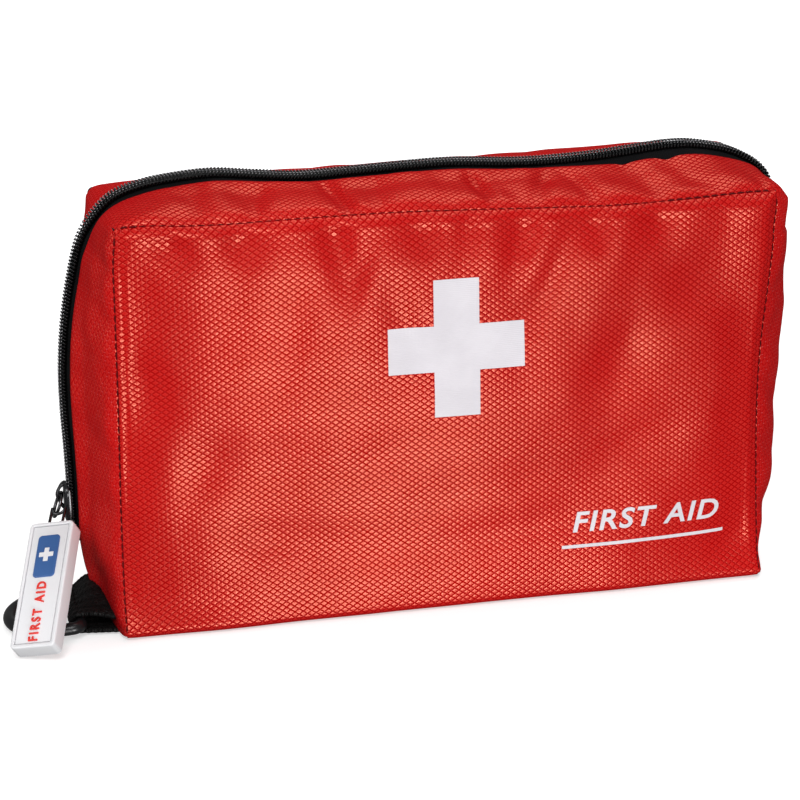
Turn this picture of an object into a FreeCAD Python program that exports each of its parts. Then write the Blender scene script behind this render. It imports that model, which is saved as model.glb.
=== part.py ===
import FreeCAD, Part
import math
import os

# Soft first aid kit: a padded clamshell pouch standing on its base.
# Origin at the middle of the base, +X to the right along the width, +Y to the back, +Z up.
# Millimetres.

V = FreeCAD.Vector
AXIS_X, AXIS_Y, AXIS_Z = V(1, 0, 0), V(0, 1, 0), V(0, 0, 1)

# ---- driving dimensions ----------------------------------------------------------------------
T_PANEL = 2.4                    # padded panel: outer weave, foam, lining
T_GUSSET = 1.6
T_TAPE = 0.8                     # zip tape
X_FRONT = 220.0 / 2              # half width of the front panel
Y_FRONT, Y_BACK = -30.0, 30.0    # outer faces of the front and back panels
Y_FRONT_IN, Y_BACK_IN = Y_FRONT + T_PANEL, Y_BACK - T_PANEL
Z_FOLD = 28.0                    # crease about which the front panel opens
FOLD_GAP = 0.3                   # half of the gap at the crease
BASE_LEFT, BASE_RIGHT = -116.5, 115.5  # widest points of the base, at y = 0
BASE_BACK_INSET = 1.0            # base inside the back panel at its back corners

# Edge lines of the body, each an upside-down U: left, right, top, corner radius
FLAP_EDGE = (-X_FRONT - 0.5, X_FRONT + 0.5, 136.5, 8.0)
ZIP_EDGE = (-123.2, 122.6, 144.0, 23.0)
BACK_EDGE = (-112.5, 113.5, 139.5, 9.0)
ZIP_LEFT, ZIP_RIGHT = ZIP_EDGE[:2]
BACK_LEFT, BACK_RIGHT = BACK_EDGE[:2]

os.makedirs("parts", exist_ok=True)


# ---- helpers ---------------------------------------------------------------------------------
def save(name, *shapes):
    """Write one node: a single solid, or a group of separate solids."""
    solids = [solid for shape in shapes for solid in shape.Solids]
    node = solids[0] if len(solids) == 1 else Part.makeCompound(solids)
    node.exportStep("parts/" + name + ".step")


def join(first, *others):
    """Fuse into one solid and merge coplanar faces."""
    return first.fuse(list(others)).removeSplitter() if others else first


def box(x0, x1, y0, y1, z0, z1):
    return Part.makeBox(x1 - x0, y1 - y0, z1 - z0, V(x0, y0, z0))


def round_edges(block, radius, direction):
    """Fillet the straight edges that run along the direction."""
    edges = [e for e in block.Edges
             if abs(e.tangentAt(e.FirstParameter).dot(direction)) > 0.99]
    return block.makeFillet(radius, edges)


def polygon(points):
    return Part.makePolygon([V(*p) for p in points] + [V(*points[0])])


def section_xz(y, points):
    """Closed polygon of (x, z) points in the plane y."""
    return polygon([(x, y, z) for x, z in points])


def profile(points, y0, y1):
    """Polygon of (x, z) points, extruded from y0 to y1."""
    return Part.Face(section_xz(y0, points)).extrude(V(0, y1 - y0, 0))


def tube(start, axis, length, outer, inner):
    return Part.makeCylinder(outer, length, start, axis).cut(
        Part.makeCylinder(inner, length, start, axis))


def rod(start, end, radius):
    along = end - start
    return Part.makeCylinder(radius, along.Length, start, along)


def bend(center, axis, start, radius, angle):
    """Rod section at start, turned about the axis through the centre."""
    tangent = axis.cross(start - center)
    section = Part.Face(Part.Wire(Part.makeCircle(radius, start, tangent)))
    return section.revolve(center, axis, angle)


def arch(y, edge, foot):
    """Edges of an upside-down U in the plane y, and its left and right feet."""
    left, right, top, radius = edge
    k = radius * (1 - math.sqrt(0.5))
    p = [V(left, y, foot), V(left, y, top - radius), V(left + k, y, top - k),
         V(left + radius, y, top), V(right - radius, y, top), V(right - k, y, top - k),
         V(right, y, top - radius), V(right, y, foot)]
    edges = [Part.makeLine(p[0], p[1]), Part.Arc(p[1], p[2], p[3]).toShape(),
             Part.makeLine(p[3], p[4]), Part.Arc(p[4], p[5], p[6]).toShape(),
             Part.makeLine(p[6], p[7])]
    return edges, p[0], p[7]


def inset(edge, distance):
    left, right, top, radius = edge
    return (left + distance, right - distance, top - distance, radius - distance)


def band_section(y, edge, thickness, foot):
    outer, outer_left, outer_right = arch(y, edge, foot)
    inner, inner_left, inner_right = arch(y, inset(edge, thickness), foot)
    edges = (outer + [Part.makeLine(outer_right, inner_right)]
             + inner[::-1] + [Part.makeLine(inner_left, outer_left)])
    return Part.Wire(Part.__sortEdges__(edges))


def band(y0, edge0, y1, edge1, thickness, foot):
    """Upside-down U band, lofted from edge0 in plane y0 to edge1 in plane y1."""
    return Part.makeLoft([band_section(y0, edge0, thickness, foot),
                          band_section(y1, edge1, thickness, foot)], True, True)


def rounded_plate(y0, y1, edge, foot):
    """Upright plate with rounded top corners."""
    edges, left_foot, right_foot = arch(y0, edge, foot)
    edges.append(Part.makeLine(right_foot, left_foot))
    wire = Part.Wire(Part.__sortEdges__(edges))
    return Part.Face(wire).extrude(V(0, y1 - y0, 0))


# ---- soft outer body -------------------------------------------------------------------------
Y_BAND = 3.0        # half width of the open zip band
GUSSET_TUCK = 0.6   # foot of the lower gussets inside the widest and back lines

# Body panel: lower front, base and back in one cloth.
lower_front = box(-X_FRONT, X_FRONT, Y_FRONT, Y_FRONT_IN, 0, Z_FOLD - FOLD_GAP)
base = Part.Face(polygon([
    (-X_FRONT, Y_FRONT, 0), (X_FRONT, Y_FRONT, 0), (BASE_RIGHT, 0, 0),
    (BACK_RIGHT - BASE_BACK_INSET, Y_BACK, 0), (BACK_LEFT + BASE_BACK_INSET, Y_BACK, 0),
    (BASE_LEFT, 0, 0)])).extrude(V(0, 0, T_PANEL))
back = rounded_plate(Y_BACK_IN, Y_BACK, BACK_EDGE, 0)
save("body_panel", join(lower_front, base, back))

save("flap_panel", rounded_plate(Y_FRONT, Y_FRONT_IN, FLAP_EDGE, Z_FOLD + FOLD_GAP))

# The front gusset belongs to the flap, the rear one to the body.
save("front_gusset", band(Y_FRONT_IN, FLAP_EDGE, -Y_BAND, ZIP_EDGE, T_GUSSET,
                          Z_FOLD + FOLD_GAP))
save("rear_gusset", band(Y_BAND, ZIP_EDGE, Y_BACK_IN, BACK_EDGE, T_GUSSET, Z_FOLD))


def lower_gusset(side, x_zip, x_base, x_back):
    """Closed side below the zip; side is -1 on the left, 1 on the right."""
    top, foot = Z_FOLD - 0.1, T_PANEL

    def section(y, x_top, x_foot):
        return section_xz(y, [
            (x_top, top), (x_top - side * T_GUSSET, top),
            (x_foot - side * T_GUSSET, foot), (x_foot, foot)])

    def middle():
        return section(0, x_zip, x_base - side * GUSSET_TUCK)

    x_front = side * X_FRONT
    front_half = Part.makeLoft([section(Y_FRONT_IN, x_front, x_front), middle()], True, True)
    rear_half = Part.makeLoft(
        [middle(), section(Y_BACK_IN, x_back, x_back - side * GUSSET_TUCK)], True, True)
    return join(front_half, rear_half)


save("side_gusset_left", lower_gusset(-1, ZIP_LEFT, BASE_LEFT, BACK_LEFT))
save("side_gusset_right", lower_gusset(1, ZIP_RIGHT, BASE_RIGHT, BACK_RIGHT))

# ---- zip -------------------------------------------------------------------------------------
COIL_H = 2.3           # height of the coil above the tape
COIL_GAP = 0.4         # half of the gap between the two coil rows
TAPE_GAP = COIL_GAP + 0.1
Y_COIL = Y_BAND - 0.1  # outer side of each coil row
Z_COIL = Z_FOLD + 2    # foot of the coils
Z_CHAIN = 45.2         # first coil that moves with the flap
Z_END_TOP = Z_CHAIN - 0.4

TAPE_EDGE = inset(ZIP_EDGE, T_GUSSET - T_TAPE)  # inner faces of tape and gusset flush
COIL_EDGE = inset(TAPE_EDGE, -COIL_H)
TAPE_LEFT, TAPE_RIGHT = TAPE_EDGE[:2]
COIL_LEFT, COIL_RIGHT = COIL_EDGE[:2]

save("rear_zip_tape", band(TAPE_GAP, TAPE_EDGE, Y_BAND, TAPE_EDGE, T_TAPE, Z_FOLD))
save("rear_zip_coil", band(COIL_GAP, COIL_EDGE, Y_COIL, COIL_EDGE, COIL_H, Z_COIL))
save("front_zip_tape", band(-Y_BAND, TAPE_EDGE, -TAPE_GAP, TAPE_EDGE, T_TAPE, Z_CHAIN))
save("front_zip_coil", band(-Y_COIL, COIL_EDGE, -COIL_GAP, COIL_EDGE, COIL_H, Z_CHAIN))

# Lowest part of the front half of the zip, tacked to the body so that it does not open.
save("zip_end_tape", *[
    box(x0, x0 + T_TAPE, -Y_BAND, -TAPE_GAP, Z_FOLD, Z_END_TOP)
    for x0 in (TAPE_LEFT, TAPE_RIGHT - T_TAPE)])
save("zip_end_coil", *[
    box(x0, x0 + COIL_H, -Y_COIL, -COIL_GAP, Z_COIL, Z_END_TOP)
    for x0 in (COIL_LEFT, TAPE_RIGHT)])

# Stops: two small crimps at the left end, one box stop at the right end.
Z_STOP, Z_STOP_TOP = Z_FOLD - 0.1, Z_FOLD + 1.9
Y_STOP = 2.9
save("zip_stops",
     box(COIL_LEFT - 0.2, COIL_LEFT + COIL_H, 0.3, Y_STOP, Z_STOP, Z_STOP_TOP),
     box(COIL_LEFT - 0.2, COIL_LEFT + COIL_H, -Y_STOP, -0.3, Z_STOP, Z_STOP_TOP),
     box(COIL_RIGHT - COIL_H, COIL_RIGHT + 0.4, -Y_STOP, Y_STOP, Z_STOP, Z_STOP_TOP))

# ---- slider, parked at the left end ----------------------------------------------------------
SLIDER_FOOT, SLIDER_TOP = 31.5, 44.5
SLIDER_Y = 3.8                     # half width
FLANGE_Y = 3.05                    # inner faces of the flanges
OUTER_X = COIL_LEFT - 0.3          # coil side of the outer plate
OUTER_T = 1.2
INNER_X = TAPE_LEFT + T_TAPE + 0.4  # tape side of the inner plate

outer_plate = round_edges(
    box(OUTER_X - OUTER_T, OUTER_X, -SLIDER_Y, SLIDER_Y, SLIDER_FOOT, SLIDER_TOP), 1.0, AXIS_X)
flanges = [box(OUTER_X, ZIP_LEFT - 0.3, y0, y1, SLIDER_FOOT + 1, SLIDER_TOP - 1)
           for y0, y1 in ((FLANGE_Y, SLIDER_Y), (-SLIDER_Y, -FLANGE_Y))]
inner_plate = box(INNER_X, INNER_X + 1.0, -3.6, 3.6, SLIDER_FOOT + 0.5, SLIDER_TOP - 0.5)
wedge = box(OUTER_X, INNER_X, -0.3, 0.3, SLIDER_FOOT + 0.6, SLIDER_FOOT + 3.6)
save("slider_body", join(outer_plate, *flanges, inner_plate, wedge))

CROWN_Y = 1.1                      # half width
CROWN_PROFILE = [                  # distance out from OUTER_X, z
    (OUTER_T, 36.6), (2.9, 37.8), (4.2, 39.8), (4.2, 42.2), (2.9, 43.8), (OUTER_T, 44.4)]
EYE = V(OUTER_X - 2.7, 0, 41.0)    # eye of the crown
crown = profile([(OUTER_X - out, z) for out, z in CROWN_PROFILE], -CROWN_Y, CROWN_Y)
save("slider_crown", crown.cut(Part.makeCylinder(1.15, 4, EYE - AXIS_Y * 2, AXIS_Y)))

# Puller ring through the crown's eye, hanging close to the slider.
PULLER_R, PULLER_ROD_R = 4.2, 0.55
hang = V(-0.36, 0, -0.933).normalize()
save("puller_ring", Part.makeTorus(PULLER_R, PULLER_ROD_R, EYE + hang * PULLER_R,
                                   hang.cross(AXIS_Y)))

# ---- wire clip and tag -----------------------------------------------------------------------
TAG_L, TAG_W, TAG_T = 45.0, 15.5, 6.5
TAG_TURN = 0.19                    # turn of the face away from the pouch, radians
CLIP_R, CLIP_ROD_R = 2.35, 0.5
CLIP_TOP = V(-128.5, -2.2, 38.7)   # top of the wire's bend
CLIP_DROP = 9.5                    # from there to the tag's top edge
LEG_DEPTH = 4.0                    # legs inside the tag

tag_down = V(-0.270, -0.722, -0.637).normalize()
unturned = V(0.935, -0.355, 0)
unturned = (unturned - tag_down * unturned.dot(tag_down)).normalize()
tag_across = (unturned * math.cos(TAG_TURN)
              + tag_down.cross(unturned) * math.sin(TAG_TURN))
tag_out = tag_down.cross(tag_across)
tag_top = CLIP_TOP + tag_down * CLIP_DROP

# The wire passes through the puller ring; its two legs are moulded into the tag.
clip_center = CLIP_TOP + tag_down * CLIP_R
leg = tag_down * (CLIP_DROP - CLIP_R + LEG_DEPTH)
leg_starts = [clip_center + tag_across * (CLIP_R * side) for side in (-1, 1)]
legs = [rod(start, start + leg, CLIP_ROD_R) for start in leg_starts]
clip_arc = bend(clip_center, tag_out * -1, leg_starts[1], CLIP_ROD_R, 180)
wire = legs[0].fuse([legs[1], clip_arc])
save("wire_clip", wire)


def tag_block(x0, x1, y0, y1, z0, z1, radius=0.0):
    """Block in the tag's frame: x across, y out of the face, z down from the top edge."""
    block = box(x0, x1, y0, y1, z0, z1)
    if radius:
        block = round_edges(block, radius, AXIS_Y)
    a, o, d, t = tag_across, tag_out, tag_down, tag_top
    return block.transformed(FreeCAD.Matrix(
        a.x, o.x, d.x, t.x, a.y, o.y, d.y, t.y, a.z, o.z, d.z, t.z))


FIELD_Y = TAG_T / 2 - 0.6          # floor of the recess in the face
FIELD_RIM = 1.5
FIELD_X = TAG_W / 2 - FIELD_RIM
BADGE_Y = FIELD_Y + 0.7
BADGE_Z = 12.5                     # middle of the badge
RIB_PITCH, RIB_H = 2.6, 1.4

tag = tag_block(-TAG_W / 2, TAG_W / 2, -TAG_T / 2, TAG_T / 2, 0, TAG_L, 1.2)
field = tag_block(-FIELD_X, FIELD_X, FIELD_Y, TAG_T / 2 + 1,
                  FIELD_RIM, TAG_L - FIELD_RIM, 0.6)
save("tag_body", tag.cut(field).cut(wire))
save("tag_badge", tag_block(-3.9, 3.9, FIELD_Y, BADGE_Y, BADGE_Z - 7, BADGE_Z + 7, 1.2))
save("tag_cross", join(*[
    tag_block(-x, x, BADGE_Y, BADGE_Y + 0.25, BADGE_Z - z, BADGE_Z + z)
    for x, z in ((2.6, 0.8), (0.8, 2.6))]))
save("tag_ribs", *[
    tag_block(-2.6, 2.6, FIELD_Y, FIELD_Y + 0.6, z, z + RIB_H, 0.4)
    for z in [22.0 + RIB_PITCH * i for i in range(8)]])

# ---- webbing loop and D-ring, low on the left side -------------------------------------------
WEB_W, WEB_T = 25.0, 1.4
WEB_Y = -11.5                      # middle of the webbing's width
WEB_FRONT, WEB_REAR = WEB_Y - WEB_W / 2, WEB_Y + WEB_W / 2
ROOT_FRONT_X, ROOT_REAR_X = -112.4, -118.9  # slanting line where the loop is sewn in
BAR_X, BAR_Z = -125.6, 3.8         # middle of the ring's straight bar
RING_R = 4.2 / 2                   # radius of the ring's rod
EYE_R = RING_R + 0.25              # inside of the webbing round the bar


def fan(eye_z0, eye_z1, root_z0, root_z1):
    """One layer of webbing from the eye to the slanting root line."""
    def section(y, root_x):
        return section_xz(y, [(BAR_X, eye_z0), (BAR_X, eye_z1),
                              (root_x, root_z1), (root_x, root_z0)])
    return Part.makeLoft([section(WEB_FRONT, ROOT_FRONT_X), section(WEB_REAR, ROOT_REAR_X)],
                         True, True)


web_eye = tube(V(BAR_X, WEB_FRONT, BAR_Z), AXIS_Y, WEB_W, EYE_R + WEB_T, EYE_R)
web_eye = web_eye.cut(box(BAR_X, BAR_X + 9, -60, 60, -9, 20))  # keep the left half
upper = fan(BAR_Z + EYE_R, BAR_Z + EYE_R + WEB_T, 3.5, 8.2)
under = fan(BAR_Z - EYE_R - WEB_T, BAR_Z - EYE_R, 1.4, 4.1)
save("webbing_loop", join(web_eye, upper, under))


def tack_section(root_x, y):
    x0, x1, z0, z1 = root_x - 2.2, root_x - 1.2, 8.22, 8.7
    return section_xz(y, [(x0, z0), (x1, z0), (x1, z1), (x0, z1)])


save("loop_bar_tack", Part.makeLoft([tack_section(ROOT_FRONT_X, WEB_FRONT + 1),
                                     tack_section(ROOT_REAR_X, WEB_REAR - 1)], True, True))

RING_HALF = 16.2                   # half width, and radius of the bow
CORNER = 3.0                       # bend radius at the ends of the bar
BOW_X = BAR_X - 6.2                # centre of the bow


def ring_point(x, y):
    """Point in the ring's plane; y is measured from its middle."""
    return V(x, WEB_Y + y, BAR_Z)


BAR_HALF = RING_HALF - CORNER
bar = rod(ring_point(BAR_X, -BAR_HALF), ring_point(BAR_X, BAR_HALF), RING_R)
corners = [bend(ring_point(BAR_X - CORNER, side * BAR_HALF), AXIS_Z,
                ring_point(BAR_X, side * BAR_HALF), RING_R, side * 90) for side in (-1, 1)]
arms = [rod(ring_point(BAR_X - CORNER, side * RING_HALF),
            ring_point(BOW_X, side * RING_HALF), RING_R) for side in (-1, 1)]
bow = bend(ring_point(BOW_X, 0), AXIS_Z, ring_point(BOW_X, RING_HALF), RING_R, 180)
ring = join(bar, *corners, *arms, bow)
ring.rotate(V(BAR_X, WEB_Y, BAR_Z), AXIS_Y, -3.0)  # lower the bow towards the ground
save("d_ring", ring)

# ---- printing on the front -------------------------------------------------------------------
PRINT_T = 0.15
CROSS_HALF, CROSS_ARM_HALF = 45.8 / 2, 15.3 / 2
CROSS_Z = 90.3


def printed(x0, x1, z0, z1):
    return box(x0, x1, Y_FRONT - PRINT_T, Y_FRONT, z0, z1)


save("cross_print", join(*[
    printed(-x, x, CROSS_Z - z, CROSS_Z + z)
    for x, z in ((CROSS_HALF, CROSS_ARM_HALF), (CROSS_ARM_HALF, CROSS_HALF))]))

GLYPHS = {  # strokes on a 3 x 5 grid: x0, z0, x1, z1
    "F": [(0, 0, .8, 5), (.8, 4.2, 3, 5), (.8, 2.2, 2.6, 3)],
    "I": [(1.1, 0, 1.9, 5)],
    "R": [(0, 0, .8, 5), (.8, 4.2, 3, 5), (2.2, 2.8, 3, 4.2), (.8, 2.0, 3, 2.8),
          (2.0, 0, 2.8, 2.0)],
    "S": [(0, 0, 3, .8), (2.2, .8, 3, 2.1), (0, 2.1, 3, 2.9), (0, 2.9, .8, 4.2),
          (0, 4.2, 3, 5)],
    "T": [(0, 4.2, 3, 5), (1.1, 0, 1.9, 4.2)],
    "A": [(0, 0, .8, 5), (2.2, 0, 3, 5), (.8, 4.2, 2.2, 5), (.8, 2.0, 2.2, 2.8)],
    "D": [(0, 0, .8, 5), (.8, 4.2, 2.4, 5), (.8, 0, 2.4, .8), (2.2, .8, 3, 4.2),
          (2.2, .6, 2.4, 4.4)],
}
GRID = 1.45                        # size of one grid unit
TEXT_X, TEXT_Z = 40.0, 20.2        # left end and foot of the letters
LETTER_PITCH, SPACE = 5.9, 2.8

letters = []
x = TEXT_X
for char in "FIRST AID":
    if char == " ":
        x += SPACE
        continue
    letters.append(join(*[
        printed(x + GRID * x0, x + GRID * x1, TEXT_Z + GRID * z0, TEXT_Z + GRID * z1)
        for x0, z0, x1, z1 in GLYPHS[char]]))
    x += LETTER_PITCH
underline = printed(TEXT_X, x - 1.5, 17.2, 18.1)
save("lettering_print", *letters, underline)

# ---- seam bindings and pockets ---------------------------------------------------------------
BINDING_W, BINDING_T = 1.2, 2.6


def seam_binding(y0, inset0, y1, inset1, edge):
    return band(y0, inset(edge, inset0), y1, inset(edge, inset1), BINDING_T, Z_FOLD + 1)


save("front_seam_binding",
     seam_binding(Y_FRONT_IN, 1.7, Y_FRONT_IN + BINDING_W, 1.75, FLAP_EDGE))
save("rear_seam_binding",
     seam_binding(Y_BACK_IN - BINDING_W, 1.75, Y_BACK_IN, 1.7, BACK_EDGE))

POCKET_T = 0.6
HEM_OVERHANG, HEM_H = 0.7, 3.0     # binding along a pocket's top edge
REAR_POCKET_Y = 17.0               # front face of the rear pocket's sheet
FLAP_POCKET_Y = -21.2              # front face of the flap pocket's sheet
FLAP_POCKET_X, FLAP_POCKET_Z = 80, 40  # half width and foot


def pocket(half, sheet_y, side_y0, side_y1, foot, top):
    """Sheet and two side walls."""
    return [box(-half, half, sheet_y, sheet_y + POCKET_T, foot, top),
            box(-half, -half + POCKET_T, side_y0, side_y1, foot, top),
            box(half - POCKET_T, half, side_y0, side_y1, foot, top)]


def pocket_hem(half, sheet_y, top):
    return box(-half, half, sheet_y - HEM_OVERHANG, sheet_y + POCKET_T + HEM_OVERHANG,
               top, top + HEM_H)


save("rear_pocket", *pocket(98, REAR_POCKET_Y, REAR_POCKET_Y + POCKET_T, Y_BACK_IN,
                            T_PANEL, 92))
save("rear_pocket_binding", pocket_hem(98, REAR_POCKET_Y, 92))
floor_x = FLAP_POCKET_X - POCKET_T
save("flap_pocket",
     *pocket(FLAP_POCKET_X, FLAP_POCKET_Y, Y_FRONT_IN, FLAP_POCKET_Y, FLAP_POCKET_Z, 100),
     box(-floor_x, floor_x, Y_FRONT_IN, FLAP_POCKET_Y, FLAP_POCKET_Z,
         FLAP_POCKET_Z + POCKET_T))
save("flap_pocket_binding", pocket_hem(FLAP_POCKET_X, FLAP_POCKET_Y, 100))

# ---- packets and rolls -----------------------------------------------------------------------
PACKETS = {  # count, pitch in y, corner radius, then x0, x1, y0, y1, z0, z1 of the first
    "triangular_bandage": (1, 0, 2.0, -92, -10, 19.4, 26.8, 3, 88),
    "rescue_blanket": (1, 0, 2.0, 2, 92, 19.4, 26.4, 3, 86),
    "gauze_packs": (4, 5.2, 2.0, -40, 12, -16.5, -12.0, T_PANEL, 56),
    "plaster_pack": (1, 0, 2.0, -70, 5, -27.0, -22.4, 41, 92),
    "wipe_sachets": (4, 1.5, 1.0, 15, 70, -27.2, -25.9, 41, 93),
    "glove_pack": (1, 0, 2.0, 91, 108, -16, 12, T_PANEL, 66),
}
for name, (count, pitch, radius, x0, x1, y0, y1, z0, z1) in PACKETS.items():
    save(name, *[
        round_edges(box(x0, x1, y0 + pitch * i, y1 + pitch * i, z0, z1), radius, AXIS_Y)
        for i in range(count)])

save("leaflet", box(-92, 8, 27.0, 27.5, 4, 76))
save("bandage_rolls", *[tube(V(x, -1.4, T_PANEL), AXIS_Z, 62, 16.5, 3.0) for x in (35, 71)])

# Adhesive tape: the roll turns on a spool with a flange at its rear end.
SPOOL_X, SPOOL_Z = -72.0, 25.0
SPOOL_REAR = 2.0                   # rear end of the hub
SPOOL_R, SPOOL_BORE = 13.0, 9.5


def spool_tube(y, length, outer, inner):
    """Tube on the spool's axis, running forward from y."""
    return tube(V(SPOOL_X, y, SPOOL_Z), AXIS_Y * -1, length, outer, inner)


save("tape_spool", join(spool_tube(SPOOL_REAR, 19, SPOOL_R, SPOOL_BORE),
                        spool_tube(SPOOL_REAR + 1.0, 1.0, 22.4, SPOOL_BORE)))
save("tape_roll", spool_tube(SPOOL_REAR - 0.1, 18.4, 20.5, SPOOL_R + 0.15))

# ---- scissors --------------------------------------------------------------------------------
RIVET_X, RIVET_Z = -66.0, 60.0
RIVET_Y, RIVET_R = 11.0, 2.0
BOW_DX, BOW_DZ = -13.5, 31         # finger bow from the rivet
# Outlines of the rear half: x, z from the rivet
BLADE = [(-3, 5), (5, 5), (4.0, -10), (0.4, -48), (-0.8, -44), (-3.6, -6)]
SHANK = [(-3, 4), (5, 4), (-9, 24), (-14, 22)]


def scissor_half(y0, y1, side):
    """Half between y0 and y1; side -1 mirrors it left to right."""
    blade, shank = [
        profile([(RIVET_X + x * side, RIVET_Z + z) for x, z in outline], y0, y1)
        for outline in (BLADE, SHANK)]
    finger_bow = tube(V(RIVET_X + BOW_DX * side, y0, RIVET_Z + BOW_DZ), AXIS_Y,
                      y1 - y0, 10, 6.6)
    hole = Part.makeCylinder(RIVET_R + 0.05, 20, V(RIVET_X, y0 - 5, RIVET_Z), AXIS_Y)
    return join(blade, shank, finger_bow).cut(hole)


def rivet_disc(y, radius, length):
    return Part.makeCylinder(radius, length, V(RIVET_X, y, RIVET_Z), AXIS_Y)


save("scissors_half_rear", scissor_half(13.4, 15.0, 1))
save("scissors_half_front", scissor_half(11.7, 13.3, -1))
save("scissors_rivet", join(rivet_disc(RIVET_Y, RIVET_R, 4.6),
                            rivet_disc(RIVET_Y, 3.4, 0.6), rivet_disc(15.05, 3.4, 0.6)))

# ---- tweezers, tips down ---------------------------------------------------------------------
TWEEZERS_X = -17
TWEEZERS_Y0, TWEEZERS_Y1 = 12.4, 16.4
TWEEZER_ARM = [                    # distance from TWEEZERS_X, z
    (0.15, 84), (3.0, 78), (4.6, 50), (2.2, 6), (1.5, 6), (3.4, 50), (1.9, 76), (0.15, 79)]
for name, side in (("left", -1), ("right", 1)):
    save("tweezers_arm_" + name,
         profile([(TWEEZERS_X + x * side, z) for x, z in TWEEZER_ARM],
                 TWEEZERS_Y0, TWEEZERS_Y1))

# ---- elastic loops on the rear pocket --------------------------------------------------------
# One through the finger bow of the scissors' rear half, one round the tweezers.
bow_x, bow_z = RIVET_X + BOW_DX, RIVET_Z + BOW_DZ
bow_loop = join(*[
    box(bow_x - 3, bow_x + 3, y0, y1, bow_z + z0, bow_z + z1)
    for y0, y1, z0, z1 in (
        (12.8, 13.3, 2, 14),                          # front strip
        (13.3, 15.8, 2, 3),                           # through the bow
        (13.3, REAR_POCKET_Y - HEM_OVERHANG, 13, 14),  # back to the pocket's binding
        (15.3, 15.8, 2, 14))])                        # rear strip
loop_left, loop_right = TWEEZERS_X - 7, TWEEZERS_X + 7
tweezers_loop = join(*[
    box(x0, x1, y0, y1, 66, 76)
    for x0, x1, y0, y1 in (
        (loop_left, loop_right, 11.0, 11.6),
        (loop_left, loop_left + 0.6, 11.6, REAR_POCKET_Y),
        (loop_right - 0.6, loop_right, 11.6, REAR_POCKET_Y))])
save("elastic_loops", bow_loop, tweezers_loop)

# ---- safety pins -----------------------------------------------------------------------------
PIN_X, PIN_Y, PIN_Z = 86.0, -24.4, 70.0  # left leg of the first pin, at its bend
PIN_PITCH = 6
PIN_GAP = 3.4                      # between the two legs
PIN_R = 0.5


def safety_pin(x):
    left, right = V(x, PIN_Y, PIN_Z), V(x + PIN_GAP, PIN_Y, PIN_Z)
    left_leg = rod(left, left + AXIS_Z * 26, PIN_R)
    right_leg = rod(right, right + AXIS_Z * 24, PIN_R)
    turn = bend((left + right) * 0.5, AXIS_Y, left, PIN_R, -180)
    cap = box(x - 1.0, x + PIN_GAP + 1.0, PIN_Y - 1.0, PIN_Y + 1.0, PIN_Z + 24, PIN_Z + 29)
    return join(left_leg, right_leg, turn, cap)


save("safety_pins", *[safety_pin(PIN_X + PIN_PITCH * i) for i in range(3)])
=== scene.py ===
"""Red zipped first-aid pouch with its slider, rubber tag, webbing loop and contents.

The pouch stands on z = 0, centred on x = 0, y = 0. Its front faces -y and its left side -x.
The zip runs up the left side, over the top and down the right side, close to y = 0.
Lengths are millimetres; add_mesh turns them into metres. The stage, camera, lights and
shader bump distances are in metres.
"""
import bpy
import bmesh
import math
import numpy as np
from types import SimpleNamespace
from mathutils import Vector, Matrix


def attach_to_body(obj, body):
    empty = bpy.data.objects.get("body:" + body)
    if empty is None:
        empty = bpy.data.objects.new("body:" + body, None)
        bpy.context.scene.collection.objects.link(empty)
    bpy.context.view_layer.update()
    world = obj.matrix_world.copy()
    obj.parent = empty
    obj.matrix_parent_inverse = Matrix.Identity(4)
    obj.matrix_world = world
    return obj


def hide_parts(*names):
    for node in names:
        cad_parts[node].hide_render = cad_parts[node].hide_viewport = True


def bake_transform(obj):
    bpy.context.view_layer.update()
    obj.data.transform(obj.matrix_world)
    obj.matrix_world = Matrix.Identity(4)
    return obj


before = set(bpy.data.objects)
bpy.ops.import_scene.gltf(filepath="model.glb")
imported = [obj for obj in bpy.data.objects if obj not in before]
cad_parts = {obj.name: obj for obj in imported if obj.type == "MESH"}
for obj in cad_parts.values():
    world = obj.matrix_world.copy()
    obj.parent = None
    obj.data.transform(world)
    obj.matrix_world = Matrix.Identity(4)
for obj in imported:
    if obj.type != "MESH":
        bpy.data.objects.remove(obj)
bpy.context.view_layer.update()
SCENE = bpy.context.scene
SCENE.view_settings.view_transform = "Standard"
SCENE.view_settings.look = "None"
MM = 0.001


def attach(ob, body, slot, *nodes):
    """Says which body carries a piece ("bend" is base to flap) and hides the nodes it replaces;
    slot is not used.
    """
    if nodes:
        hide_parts(*nodes)
    if body == "bend":
        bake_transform(ob)
    else:
        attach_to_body(ob, body)


# ---------------------------------------------------------------- curves and noise


def smooth(start, end, x):
    t = np.clip((np.asarray(x, float) - start) / (end - start), 0, 1)
    return t * t * (3 - 2 * t)


def value_noise(x, y, scale, seed):
    """Smooth noise in -1..1 from a repeating table of random values."""
    table = np.random.RandomState(seed).rand(64, 64) * 2 - 1
    x = np.asarray(x, float) / scale + 17.3
    y = np.asarray(y, float) / scale + 9.1
    i, j = np.floor(x).astype(int), np.floor(y).astype(int)
    fx, fy = (f ** 3 * (f * (f * 6 - 15) + 10) for f in (x - i, y - j))

    def corner(a, b):
        return table[a % 64, b % 64]
    return (corner(i, j) * (1 - fx) * (1 - fy) + corner(i + 1, j) * fx * (1 - fy)
            + corner(i, j + 1) * (1 - fx) * fy + corner(i + 1, j + 1) * fx * fy)


def pleats(along, pitch, power=1.0):
    """Row of rounded humps in 0..1."""
    return np.abs(np.sin(along * math.pi / pitch)) ** power


def unit(v):
    return v / np.maximum(np.linalg.norm(v, axis=-1, keepdims=True), 1e-12)


def arc_lengths(curve):
    return np.r_[0, np.cumsum(np.linalg.norm(np.diff(curve, axis=0), axis=1))]


def at_length(curve, lengths, where):
    """Values of a curve at the given distances along it."""
    return np.stack([np.interp(where, lengths, column) for column in curve.T], 1)


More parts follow.
